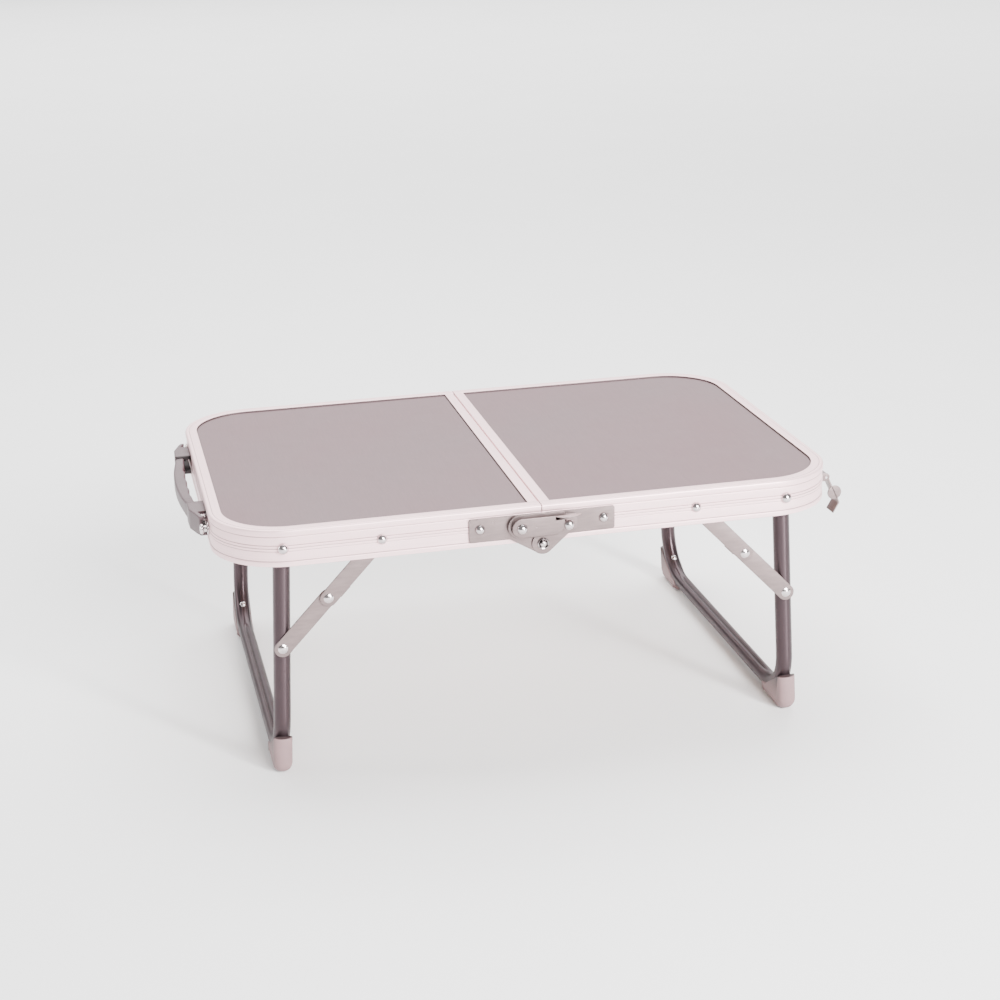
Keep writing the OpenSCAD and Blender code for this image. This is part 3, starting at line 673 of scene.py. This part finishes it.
def leg_tube():
    """Round tube along the leg path with a creased crossbar. At angle a from the bend's inner side the radius is
    r - depth * exp(-(a / width)^2) - flat * cos(a)^2, and depth and flat grow from nothing over the crossbar's
    first stretch."""
    depth = bpy.context.scene.table_sizes.crease_depth / MM
    line, ways = leg_path()
    inner = np.stack([-ways[:, 1], ways[:, 0]], -1)
    angles = np.linspace(-math.pi, math.pi, 57)[:-1]
    start = (POST_Y - BEND_R) - np.abs(line[:, 0])
    grow = np.clip((start + 6.0) / 14.0, 0, 1) * (line[:, 1] < -CROSSBAR_DROP + 6)
    crease = grow[:, None] ** 2
    radius = TUBE_R - crease * depth * np.exp(-((angles / 0.26) ** 2))
    radius = radius - 0.35 * grow[:, None] * np.cos(angles) ** 2
    rows = np.empty((len(line), len(angles), 3))
    rows[:, :, 0] = radius * np.sin(angles)
    rows[:, :, 1:] = line[:, None] + inner[:, None] * (radius * np.cos(angles))[:, :, None]
    first, last = tube_end(-1, angles)[::-1], tube_end(1, angles)
    # Painted shade down the bottom of the crossbar's crease
    gloom = 0.85 * crease * np.exp(-((angles / 0.13) ** 2))
    gloom = np.concatenate([0 * first[..., 0], gloom, 0 * last[..., 0]])
    return skin(np.concatenate([first, rows, last]), gloom)


class TABLE_OT_leg_frames(bpy.types.Operator):
    """Carry the tube's section along both leg frames"""

    bl_idname = "table.leg_frames"
    bl_label = "Leg Frames"

    def execute(self, context):
        for side, sign in SIDES.items():
            tube = at_corner(moved(leg_tube(), on_leg), sign, 1)
            put(f"{side}_leg_tube", tube, f"{side}_legs", "leg_paint", [f"{side}_leg_frame"], 50)
        return {"FINISHED"}


def shoe():
    """A shoe on the outside of the front bend: a wedge outline in (y, z), carried across the leg.
    Towards a side it is inset by edge * (1 - sqrt(1 - t^2)), where t grows from 0 to 1 over the last edge before
    the side, and its front bends back by bow * (1 - sqrt(1 - (x / half)^2))."""
    half, bow, tall, stations = 9.0, 6.5, 37.0, 25
    outer, heel = POST_Y + TUBE_R + 2, POST_Y - BEND_R + 4
    base = CROSSBAR_DROP + TUBE_R + 3.9
    collar = base - tall
    corners = [
        (-outer, -collar), (-outer, -base), (-heel, -base), (-heel, 11.5 - base), (-heel - 12, 14.0 - base),
        (7 - outer, -collar),
    ]
    outline = rounded(corners, [1.2, 12.0, 3.0, 3.0, 10.0, 0.8], 9)
    top = outline[:, 1] > -collar - 0.15
    low = np.clip((-base + 12 - outline[:, 1]) / 10, 0, 1)
    edge = 1.4 + 6.0 * low * low * (3 - 2 * low)
    front = np.clip(1 - (outline[:, 0] + outer) / 7, 0, 1)
    rows = []
    for x in half * np.sin(np.linspace(-math.pi / 2, math.pi / 2, stations)):
        t = np.clip((abs(x) - half) / edge + 1, 0, 1)
        section = inset_outline(outline, edge * (1 - np.sqrt(1 - t * t)))
        back = bow * (1 - math.sqrt(1 - min(1.0, (x / half) ** 2)))
        rows.append(np.stack([np.full(len(section), x), section[:, 0] + front * back, section[:, 1]], -1))
    # Painted shade along the shoe's top edge
    return skin(np.array(rows), 0.8 * top)


def stand(points):
    """On the leg, with whatever would reach below the floor pressed flat on it."""
    points = on_leg(points)
    points[:, 2] = np.maximum(points[:, 2], 0)
    return points


def in_bend(points):
    """From a line through the origin towards the back to the line that halves the front bend of a standing leg."""
    y, z = -points[:, 1] * math.sqrt(0.5), points[:, 2] * math.sqrt(0.5)
    return on_leg(np.stack([points[:, 0], y - z + BEND_R - POST_Y, y + z + BEND_R - CROSSBAR_DROP], -1))


class TABLE_OT_feet(bpy.types.Operator):
    """Form the moulded shoes and the small rivets that hold them"""

    bl_idname = "table.feet"
    bl_label = "Feet"

    def execute(self, context):
        start = BEND_R - TUBE_R - 0.2
        pin = [(-start - 22, 0), (-start - 22, 1.5), (-start, 1.5), *dome(-start, 3.2, 1.5)]
        head = moved(turned(pin, (0.0, 0.0), steps=24), in_bend)
        for side, sign in SIDES.items():
            for face, turn in FACES.items():
                foot = at_corner(moved(shoe(), stand), sign, turn)
                put(f"{side}_{face}_shoe", foot, f"{side}_legs", "foot_plastic", [f"{side}_{face}_foot"], 45)
            put(f"{side}_shoe_rivets", at_faces(head, sign), f"{side}_legs", "rivet_steel",
                [f"{side}_foot_rivets"])
        return {"FINISHED"}


# ---------------------------------------------------------------- stays


def along(start, end, distance, across):
    """The point at a distance along a line and a distance across it, upwards for a line to the right."""
    way = np.subtract(end, start) / np.linalg.norm(np.subtract(end, start))
    return np.array(start) + way * distance + np.array([-way[1], way[0]]) * across


class TABLE_OT_stays(bpy.types.Operator):
    """Press the stay straps, their stop tabs and the elbow rivets"""

    bl_idname = "table.stays"
    bl_label = "Stays"

    def execute(self, context):
        edge = context.scene.table_sizes.sheet_edge / MM
        pivot, elbow = (STAY_X, PIVOT_Z), (ELBOW[0], ELBOW[2])
        length = math.dist(pivot, elbow)
        # The straps' edges and the tab's edges get painted shade
        upper = slab(stadium(pivot, elbow, STRAP_R), *UPPER_STRAP, edge, gloom=STRAP_EDGE_SHADE)
        corners = ((length - 21, -8.7), (length - 8, -8.7), (length - 8, -6.7), (length - 21, -6.7))
        tab = rounded([along(pivot, elbow, *corner) for corner in corners], 0.4, 3)
        tab = slab(tab, UPPER_STRAP[0] - 1.4, UPPER_STRAP[0] + 0.6, 0.3, gloom=0.6)
        lower = slab(stadium(elbow, LEG_JOINT, STRAP_R), *LOWER_STRAP, edge, gloom=STRAP_EDGE_SHADE)
        low, face = UPPER_STRAP[0] - 0.05, UPPER_STRAP[1] + 0.05
        pin = [(193.7, 0), (193.7, 5.0), (low, 5.0), (low, SHAFT_R), (face, SHAFT_R), *dome(face, 4.6, 1.6)]
        elbow_head = turned(pin, elbow)
        for side, sign in SIDES.items():
            for face, turn in FACES.items():
                stay = f"{side}_{face}"
                put(f"{stay}_upper_stay_strap", at_corner([upper, tab], sign, turn), f"{stay}_upper_stay",
                    "zinc_steel", [f"{stay}_upper_strap"])
                put(f"{stay}_elbow_head", at_corner(elbow_head, sign, turn), f"{stay}_upper_stay", "rivet_steel",
                    [f"elbow_rivet_{stay}"])
                put(f"{stay}_lower_stay_strap", at_corner(lower, sign, turn), f"{stay}_lower_stay", "zinc_steel",
                    [f"{stay}_lower_strap"])
        return {"FINISHED"}


class TABLE_OT_rivets(bpy.types.Operator):
    """Turn the rivets of the legs and stays"""

    bl_idname = "table.rivets"
    bl_label = "Leg and Stay Rivets"

    def execute(self, context):
        leg = turned(rivet(POST_TAIL, 4.4, SHAFT_R, HALF_WIDTH - 0.1, 5.2, 4.2), (LEG_X, PIVOT_Z))
        stay = turned(rivet(STAY_TAIL, 4.2, SHAFT_R, HALF_WIDTH + 0.05, 5.0, 4.0, 0.9), (STAY_X, PIVOT_Z))
        strap = rivet(STRAP_TAIL, 4.0, SHAFT_R, LOWER_STRAP[1] + 0.05, 4.6, 1.4, 0.8)
        strap = moved(turned(strap, (0.0, -STAY_ON_LEG)), on_leg)
        for side, sign in SIDES.items():
            for kind, body, head in (("leg", "top", leg), ("stay", "top", stay), ("strap", "legs", strap)):
                put(f"{side}_{kind}_rivet_heads", at_faces(head, sign), f"{side}_{body}", "rivet_steel",
                    [f"{side}_{kind}_rivets"])
        return {"FINISHED"}


# ---------------------------------------------------------------- centre hinge


def lobe_arc():
    """The lobe's round edge about the hinge pin, from its top tangent anticlockwise to its lower right tangent."""
    return arc((0.0, HINGE_Z), LOBE_R, 97, 306, 26)


def left_plate():
    """Bar and lobe in one outline, drawn for the right and mirrored."""
    bar = [(32, PLATE_LOW), (PLATE_END, PLATE_LOW), (PLATE_END, PLATE_HIGH), (0.8, PLATE_HIGH), (0.8, HINGE_Z + 13.0)]
    bar = rounded(bar, [6.0, 2.2, 2.2, 0.6, 0.3])
    return np.concatenate([lobe_arc(), bar])


def right_plate():
    """Bar with a round clearance for the other plate's lobe."""
    bar = rounded([(PLATE_END, PLATE_LOW), (PLATE_END, PLATE_HIGH), (0.8, PLATE_HIGH)], [2.2, 2.2, 0.6])
    return np.concatenate([arc((0.0, HINGE_Z), LOBE_R + 0.6, 85.9, 35.5, 12), bar])


def right_lobe():
    """The lobe that lies over the other plate, with the arm that joins it to its bar."""
    arm = rounded([(33, PLATE_LOW + 0.5), (33, PLATE_HIGH - 3), (12, PLATE_HIGH - 3)], [2.5, 2.5, 2.0])
    return np.concatenate([lobe_arc(), arm])


class TABLE_OT_hinges(bpy.types.Operator):
    """Press the hinge plates and turn their pins and rivets"""

    bl_idname = "table.hinges"
    bl_label = "Hinge Plates"

    def execute(self, context):
        edge = context.scene.table_sizes.sheet_edge / MM
        # The plates' edges get painted shade
        left = slab(left_plate(), *PLATE, edge, gloom=PLATE_EDGE_SHADE)
        put("left_hinge_plate_pair", at_faces(left, -1), "left_top", "zinc_steel", ["left_hinge_plates"])
        low, high = PLATE_LOW + 0.6, PLATE_HIGH - 3.4
        bridge = rounded([(14, low), (32.5, low), (32.5, high), (14, high)], [0.5, 2.0, 2.0, 0.5])
        right = [
            slab(right_plate(), *PLATE, edge, gloom=PLATE_EDGE_SHADE), slab(right_lobe(), *LOBE, edge, gloom=PLATE_EDGE_SHADE),
            slab(bridge, PLATE[1] - 0.3, LOBE[0] + 0.3, 0.05),
        ]
        put("right_hinge_plate_pair", at_faces(right, 1), "right_top", "zinc_steel", ["right_hinge_plates"])
        ring = [(198.85, 0), (198.85, 4.7), (199.2, 5.0), (200.0, 5.0), (200.0, 3.0), (203.0, 3.0), (203.0, 5.2),
                (203.4, 5.5), (204.4, 5.5), (204.9, 4.9), (204.3, 3.9), (204.1, 3.4), (204.9, 3.0), (205.8, 2.3),
                (206.2, 1.2), (206.25, 0)]
        # Painted shade in the groove between the pin's outer ring and its domed head
        dark = [0, 0, 0, 0, 0, 0, 0, 0.5, 0.2, 0.3, 0.9, 0.9, 0.4, 0, 0, 0]
        pins = at_faces(turned(ring, (0.0, HINGE_Z), gloom=dark), -1)
        put("hinge_pin_heads", pins, "left_top", "rivet_steel", ["hinge_pins"])
        head = turned(rivet(RIM_TAIL, 4.0, SHAFT_R, PLATE[1] + 0.05, 4.8, 3.9, 0.95), (PLATE_RIVET_X, PIVOT_Z))
        for side, sign in SIDES.items():
            put(f"{side}_plate_rivet_heads", at_faces(head, sign), f"{side}_top", "rivet_steel",
                [f"{side}_plate_rivets"])
        return {"FINISHED"}


def lever_channel():
    """Pressed channel, open on top, its section carried along x. The walls' half height follows
    sqrt(r^2 - (x - x0)^2) round the left end, and the lower edge rises in a chamfer at the right end."""
    sheet, chamfer = 1.2, LEVER_END - 7
    inner, outer = LEVER
    reach = np.sin(np.linspace(math.radians(75), 0, 12)) * LEVER_HALF
    straight = np.linspace(-LEVER_PIVOT_X, chamfer, 8)[1:]
    x = np.concatenate([-LEVER_PIVOT_X - reach, straight, np.linspace(chamfer, LEVER_END, 8)[1:]])
    height = np.sqrt(LEVER_HALF**2 - np.clip(-LEVER_PIVOT_X - x, 0, None) ** 2)
    low = -height + 0.75 * np.clip(x - chamfer, 0, None)
    rows, gloom = [], []
    for at, top, bottom in zip(x, height, low):
        corners = [(inner, top), (inner, bottom), (outer, bottom), (outer, top), (outer - sheet, top),
                   (outer - sheet, bottom + sheet), (inner + sheet, bottom + sheet), (inner + sheet, top)]
        section = rounded(corners, [0.35, 1.9, 1.9, 0.35, 0.35, 0.7, 0.7, 0.35], 4)
        rows.append(np.stack([np.full(len(section), at), -section[:, 0], PIVOT_Z + section[:, 1]], -1))
        # Painted shade on the channel's inner faces below its top edges
        inside = np.abs(section[:, 0] - (inner + outer) / 2) < (outer - inner) / 2 - sheet + 0.05
        gloom.append(HOLLOW_SHADE * (inside & (section[:, 1] < top - 0.5)))
    return skin(np.array(rows), np.array(gloom))


def lever_tab():
    """The finger tab: a leaf bent outwards from the channel's outer wall, over the catch rivet."""
    outer, end = LEVER[1], LEVER_END
    leaf = [(end - 9, -outer + 1.2), (end + 15, -outer + 1.2), (end + 17, -outer - 0.3), (end + 12, -outer - 3.2),
            (end + 3, -outer - 5.0), (end - 4, -outer - 4.4), (end - 8, -outer - 1.0)]
    top = PIVOT_Z + LEVER_HALF
    flat = slab(rounded(leaf, [0.5, 0.7, 0.9, 3.5, 4.0, 2.5, 1.0], 5), top - 1.2, top, 0.4, "z")
    web = rounded([(end - 9, top - 4.6), (end + 7, top - 3.4), (end + 13, top - 0.3), (end - 9, top - 0.3)],
                  [0.3, 2.0, 0.5, 0.2], 4)
    return [flat, slab(web, outer - 1.2, outer, 0.35)]


def lever_back():
    """The channel's taller inner wall, rounder about the pivot than the outer one."""
    end = [(LEVER_END, PIVOT_Z - 9.0), (LEVER_END + 2.2, PIVOT_Z + 11.6)]
    outline = np.concatenate([arc((-LEVER_PIVOT_X, PIVOT_Z), 11.8, 88, 250, 24), end])
    # The back wall's edges get painted shade
    return slab(outline, LEVER[0], LEVER[0] + 1.3, 0.35, gloom=0.8)


def open_ring(profile, centre):
    """A closed profile turned about a line, its last row joined back to its first in place of flat ends."""
    points, faces, uv, gloom = turned(profile, centre)
    wide = len(points) // len(profile)
    first = np.arange(wide)
    after, last = (first + 1) % wide, len(points) - wide
    bore = np.stack([last + first, first, after, last + after], -1).tolist()
    return points, faces[:-2] + bore, np.concatenate([uv[: -2 * wide], np.zeros((4 * wide, 2))]), gloom


class TABLE_OT_levers(bpy.types.Operator):
    """Press the locking levers and turn their pivots, spacers and catch rivets"""

    bl_idname = "table.levers"
    bl_label = "Hinge Levers"

    def execute(self, context):
        parts = [lever_channel(), lever_back(), *lever_tab()]
        for face, turn in FACES.items():
            put(f"{face}_lever_channel", at_corner(parts, 1, turn), f"{face}_lever", "zinc_steel",
                [f"{face}_hinge_lever"])
        outer = LEVER[1]
        pivot = rivet(RIM_TAIL, 4.0, SHAFT_R, outer + 0.1, 5.2, 3.9, 0.95)
        catch = [(RIM_TAIL, 0), (RIM_TAIL, 4.0), (198.4, 4.0), (198.4, SHAFT_R), (203.0, SHAFT_R), (203.0, 3.2),
                 (outer + 0.3, 3.2), *dome(outer + 0.3, 5.0, 3.6)]
        spacer = [(201.5, 2.6), (201.5, 10.6), (201.8, 10.9), (203.2, 10.9), (203.45, 10.6), (203.45, 2.6)]
        pivot, catch = turned(pivot, (LEVER_PIVOT_X, PIVOT_Z)), turned(catch, (LEVER_CATCH_X, PIVOT_Z))
        spacer = open_ring(spacer, (LEVER_PIVOT_X, PIVOT_Z))
        put("lever_pivot_heads", at_faces(pivot, -1), "left_top", "rivet_steel", ["lever_pivots"])
        put("lever_catch_heads", at_faces(catch, 1), "right_top", "rivet_steel", ["lever_catches"])
        # The spacers are dark plastic, and their near-black colour also paints the shadow behind each lever's round
        # end
        put("lever_spacer_rings", at_faces(spacer, -1), "left_top", "dark_plastic", ["lever_spacers"])
        return {"FINISHED"}


# ---------------------------------------------------------------- handle and latches


def beside_rim(section, y):
    """A section of (distance from the rim's end, height about the pivots) set at a place across the table."""
    return np.stack([HALF_LENGTH + section[:, 0], np.full(len(section), y), PIVOT_Z + section[:, 1]], -1)


def handle_block():
    """Hollow block, its C section carried from the grip end to the outer end. The top is open beside the rim
    towards the outer end, and the hollow and the end that meets the grip get painted shade."""
    y = np.array([GRIP_END, 72.3, 73.2, 78, 84, 90, 94, 98, 101, 103, 103.6, 106, 110, 114, 117.4, 118])
    reach = np.interp(y, [72, 73.2, 94, 105, 118], [14.2, 15.8, 15.2, 11.6, 7.4])
    half = np.interp(y, [72, 72.3, 73.2, 110, 117.4, 118], [8.9, 9.5, 10, 10, 9.2, 8.6])
    lid = np.interp(y, [103, 103.6], [0, 1])
    rows, gloom = [], []
    for at, far, tall, cut in zip(y, reach, half, lid):
        wall = far - BLOCK_WALL
        start = 0.05 + cut * (wall - 1.2)
        deep = tall - BLOCK_WALL
        corners = [(start, tall), (far, tall), (far, -tall), (0.05, -tall), (0.05, -deep), (wall, -deep),
                   (wall, deep), (start, deep)]
        section = rounded(corners, [0.4, 1.3, 1.3, 0.4, 0.4, 0.8, 0.8, 0.4], 5)
        rows.append(beside_rim(section, -at))
        # Painted shade in the hollow and on the end that meets the grip
        hollow = (section[:, 0] < wall + 0.05) & (np.abs(section[:, 1]) < deep + 0.1)
        gloom.append(np.maximum(HOLLOW_SHADE * hollow, SLOT_SHADE * (at < GRIP_END + 0.5)))
    return skin(np.array(rows), np.array(gloom))


def handle_grip():
    """Bowed grip between the blocks: a rounded bar whose outer side follows 15 + 6.5 * (1 - (y / 72)^2), with
    finger hollows of wave_depth * sin on the inner side and a collar at each end."""
    sizes = bpy.context.scene.table_sizes
    end, hollows, depth = GRIP_END - 0.3, 50.0, sizes.wave_depth / MM
    y = np.concatenate([[-end, -end + 0.6, -end + 1.6], np.linspace(-68, 68, 69), [end - 1.6, end - 0.6, end]])
    bow = 1 - (y / GRIP_END) ** 2
    outer = 15.2 + 6.3 * bow
    inner = 6.2 + 3.2 * np.sqrt(np.clip(bow, 0, 1))
    phase = (y / hollows + 1) * math.pi * sizes.grip_waves
    inner = inner + depth * np.where(np.abs(y) < hollows, 0.5 - 0.5 * np.cos(phase), 0)
    collar = 1 / (1 + np.exp(-(np.abs(y) - 60) / 1.2))
    half = 7.2 + 0.8 * collar
    # Painted shade at the grip's ends, where they go into the blocks
    dark = 0.85 * (np.abs(y) > end - 1)
    shrink = np.interp(np.abs(y), [end - 1.6, end - 0.6, end], [0, 0.25, 0.9])
    rows = []
    for at, far, near, tall, less in zip(y, outer, inner, half, shrink):
        near, far, tall = near + less, far - less, tall - less
        corners = [(near, tall), (far, tall), (far, -tall), (near, -tall)]
        section = rounded(corners, [2.0, 2.4, 2.4, 2.0], 7)
        rows.append(beside_rim(section, at))
    return skin(np.array(rows), dark[:, None])


class TABLE_OT_handle(bpy.types.Operator):
    """Form the carry handle's blocks and grip, and turn the catch studs and screws beside them"""

    bl_idname = "table.handle"
    bl_label = "Carry Handle"

    def execute(self, context):
        for face, turn in FACES.items():
            put(f"handle_{face}_end", at_corner(handle_block(), -1, turn), "left_top", "handle_plastic",
                [f"handle_{face}_block"], 45)
        inside, outside = GRIP_END - 2, GRIP_END + 7.5
        tongue = rounded([(inside, -4.5), (outside, -4.5), (outside, 4.5), (inside, 4.5)], 0.6, 3) + [0, PIVOT_Z]
        tongues = [slab(tongue * [sign, 1], HALF_LENGTH + 8, HALF_LENGTH + 12.4, 0.4, "x") for sign in (-1, 1)]
        put("handle_grip_bar", at_corner([handle_grip(), *tongues], -1, 1), "left_top", "handle_plastic",
            ["handle_grip"], 45)
        stud = [(0.05, 0), (0.05, 5.7), (0.3, 6), (1.0, 6), (1.4, 5.4), (1.9, 3.1), (4.4, 3.0), (5.0, 4.4),
                (5.6, 4.9), (6.9, 4.9), (7.6, 4.3), (8.1, 3.2), (8.25, 1.5), (8.25, 0)]
        screw = [(-2.5, 0), (-2.5, 2), (4.1, 2), (4.1, 3.8), (4.9, 3.7), (5.8, 2.9), (6.2, 1.5), (6.25, 0)]
        for name, node, profile, y in (("catch_stud_heads", "catch_studs", stud, LATCH_Y),
                                       ("handle_screw_heads", "handle_screws", screw, SCREW_Y)):
            head = turned(np.array(profile) + [HALF_LENGTH, 0], (-y, PIVOT_Z), "x")
            put(name, at_faces(head, -1), "left_top", "rivet_steel", [node])
        return {"FINISHED"}


def latch_plate():
    """The latch's side outline about its pin: a straight arm, a bend, and a hook turned back inwards."""
    corners = [(3.2, 2.0), (3.2, -33.4), (-7.1, -40.7), (-8.0, -39.5), (1.7, -32.6), (1.7, 2.0)]
    return rounded(corners, [1.2, 3.0, 0.5, 0.5, 1.6, 0.3], 6)


def hang(points):
    """From a latch hanging straight down about its pin to its resting lean, in the table's frame."""
    x, z = points[:, 0], points[:, 2]
    lean_x = x * math.cos(LATCH_LEAN) - z * math.sin(LATCH_LEAN)
    lean_z = x * math.sin(LATCH_LEAN) + z * math.cos(LATCH_LEAN)
    return np.stack([LATCH_PIN[0] + lean_x, points[:, 1], LATCH_PIN[1] + lean_z], -1)


class TABLE_OT_latches(bpy.types.Operator):
    """Press the case latches and their brackets, and turn the pins"""

    bl_idname = "table.latches"
    bl_label = "Case Latches"

    def execute(self, context):
        low, high = LATCH_Y - LATCH_HALF, LATCH_Y + LATCH_HALF
        arm = slab(latch_plate(), low, high, 0.4)
        knuckle = [(low, 0), (low, 2.9), (low + 0.3, 3.2), (high - 0.3, 3.2), (high, 2.9), (high, 0)]
        knuckle = turned(knuckle, (0.0, 0.0), steps=28)
        cheek = slab(arc((2.4, -21.0), 7.2, 0, 350, 35), high - 1.4, high, 0.35)
        latch = [moved(part, hang) for part in (arm, knuckle, cheek)]
        pin_x, pin_z = LATCH_PIN
        base = rounded([(-LATCH_Y - 13, pin_z - 6), (-LATCH_Y + 13, pin_z - 6), (-LATCH_Y + 13, pin_z + 11),
                        (-LATCH_Y - 13, pin_z + 11)], 2.0)
        base = slab(base, HALF_LENGTH + 0.05, HALF_LENGTH + 1.55, 0.35, "x")
        ear = np.concatenate([arc((pin_x, pin_z), 4.0, -90, 90, 16),
                              [(HALF_LENGTH + 0.4, pin_z + 4), (HALF_LENGTH + 0.4, pin_z - 4)]])
        ears = [slab(ear, LATCH_Y + start, LATCH_Y + start + 1.6, 0.3) for start in (9.4, -11.0)]
        screw = np.array([(1.5, 0), (1.5, 2.4), (2.1, 2.2), (2.6, 1.4), (2.7, 0)]) + [HALF_LENGTH, 0]
        screws = [turned(screw, (-LATCH_Y + at, pin_z + 7.6), "x", 24) for at in (-8.0, 8.0)]
        low, high = LATCH_Y - 12, LATCH_Y + 12
        pin = [(low, 0), (low, 1.2), (low + 0.3, 1.5), (high - 0.3, 1.5), (high, 1.2), (high, 0)]
        brackets, pins = at_faces([base, *ears, *screws], 1), at_faces(turned(pin, LATCH_PIN, steps=20), 1)
        put("latch_bracket_pair", brackets, "right_top", "zinc_steel", ["latch_brackets"])
        put("latch_pin_pair", pins, "right_top", "rivet_steel", ["latch_pins"])
        for face, turn in FACES.items():
            put(f"{face}_latch_plate", at_corner(latch, 1, turn), f"{face}_latch", "zinc_steel",
                [f"{face}_case_latch"])
        return {"FINISHED"}


# ---------------------------------------------------------------- stage


# Place, target, width and height of each light, in metres
LIGHTS = {
    "key": ((0.9, -2.9, 2.0), (0, 0, 0.12), (1.8, 1.2)),
    "top": ((0.2, 0.9, 2.4), (0, 0, 0.2), (2.2, 1.8)),
    "right": ((1.1, -2.1, 0.75), (0, 0, 0.13), (0.22, 1.3)),
    "back": ((0.5, 6.5, 3.6), (0.5, 6.5, 0), (12.0, 8.0)),
    "left": ((-2.4, 0.4, 0.9), (0, 0, 0.15), (0.5, 1.3)),
}
FLOOR_REACH = 14.0
FLOOR_GAP = 0.0004


def area_light(name, place, target, size, power):
    """A soft light of a width and height at a place, facing a target."""
    data = bpy.data.lights.new(name, "AREA")
    data.shape, data.energy = "RECTANGLE", power
    data.size, data.size_y = size
    lamp = bpy.data.objects.new(name, data)
    lamp.location = place
    lamp.rotation_euler = (Vector(target) - Vector(place)).to_track_quat("-Z", "Y").to_euler()
    bpy.context.scene.collection.objects.link(lamp)
    return lamp


class TABLE_OT_stage(bpy.types.Operator):
    """Lay the floor and set up the lights and the camera"""

    bl_idname = "table.stage"
    bl_label = "Studio"

    def execute(self, context):
        settings = context.scene.table_stage
        self.floor(settings)
        for name, (place, target, size) in LIGHTS.items():
            area_light(f"{name}_light", place, target, size, getattr(settings, f"{name}_power"))
        world = bpy.data.worlds.new("pale_room")
        world.use_nodes = True
        back = world.node_tree.nodes["Background"]
        back.inputs["Color"].default_value = (1.0, 1.0, 1.0, 1)
        back.inputs["Strength"].default_value = settings.sky
        context.scene.world = world
        self.camera(context, settings)
        return {"FINISHED"}

    def floor(self, settings):
        """A pale sheet under the table."""
        mesh = bpy.data.meshes.new("pale_floor")
        corners = np.array([(-1, -1, 0), (1, -1, 0), (1, 1, 0), (-1, 1, 0)]) * FLOOR_REACH
        mesh.from_pydata(corners - [0, 0, FLOOR_GAP], [], [(0, 1, 2, 3)])
        w = Wiring("floor_paint", settings.floor, 0.0, 0.9)
        w.tint(w.noise(3.0), 0.99, 1.01)
        mesh.materials.append(w.material)
        floor = bpy.data.objects.new("pale_floor", mesh)
        bpy.context.scene.collection.objects.link(floor)

    def camera(self, context, settings):
        """Looks along yaw, pitch and roll: forward is (sin y cos p, cos y cos p, -sin p)."""
        yaw, pitch, roll = settings.camera_yaw, settings.camera_pitch, settings.camera_roll
        forward = Vector((math.sin(yaw) * math.cos(pitch), math.cos(yaw) * math.cos(pitch), -math.sin(pitch)))
        right = Vector((math.cos(yaw), -math.sin(yaw), 0))
        up = right.cross(forward)
        level = right * math.cos(roll) + up * math.sin(roll)
        upright = up * math.cos(roll) - right * math.sin(roll)
        data = bpy.data.cameras.new("studio_camera")
        data.lens, data.sensor_width = settings.lens, 36.0
        camera = bpy.data.objects.new("studio_camera", data)
        turn = Matrix((level, upright, -forward)).transposed()
        camera.matrix_world = Matrix.LocRotScale(Vector(settings.camera_place), turn.to_quaternion(), None)
        context.scene.collection.objects.link(camera)
        context.scene.camera = camera


PIECES = (
    TABLE_OT_rims, TABLE_OT_panels, TABLE_OT_leg_frames, TABLE_OT_feet, TABLE_OT_stays, TABLE_OT_rivets,
    TABLE_OT_hinges, TABLE_OT_levers, TABLE_OT_handle, TABLE_OT_latches, TABLE_OT_stage,
)


class TABLE_PT_panel(bpy.types.Panel):
    """Lists the table's pieces and their settings"""

    bl_label = "Folding Table"
    bl_idname = "TABLE_PT_panel"
    bl_space_type = "VIEW_3D"
    bl_region_type = "UI"
    bl_category = "Folding Table"

    def draw(self, context):
        for piece in PIECES:
            self.layout.operator(piece.bl_idname)
        for group in (context.scene.table_sizes, context.scene.table_finishes, context.scene.table_stage):
            column = self.layout.column()
            for name in group.__annotations__:
                column.prop(group, name)


GROUPS = {"table_sizes": TableSizes, "table_finishes": TableFinishes, "table_stage": TableStage}


def register():
    for name, group in GROUPS.items():
        bpy.utils.register_class(group)
        setattr(bpy.types.Scene, name, PointerProperty(type=group))
    for piece in (*PIECES, TABLE_PT_panel):
        bpy.utils.register_class(piece)


def unregister():
    for piece in (TABLE_PT_panel, *reversed(PIECES)):
        bpy.utils.unregister_class(piece)
    for name, group in GROUPS.items():
        delattr(bpy.types.Scene, name)
        bpy.utils.unregister_class(group)


def main():
    register()
    for piece in PIECES:
        group, name = piece.bl_idname.split(".")
        getattr(getattr(bpy.ops, group), name)()


if __name__ == "__main__":
    main()
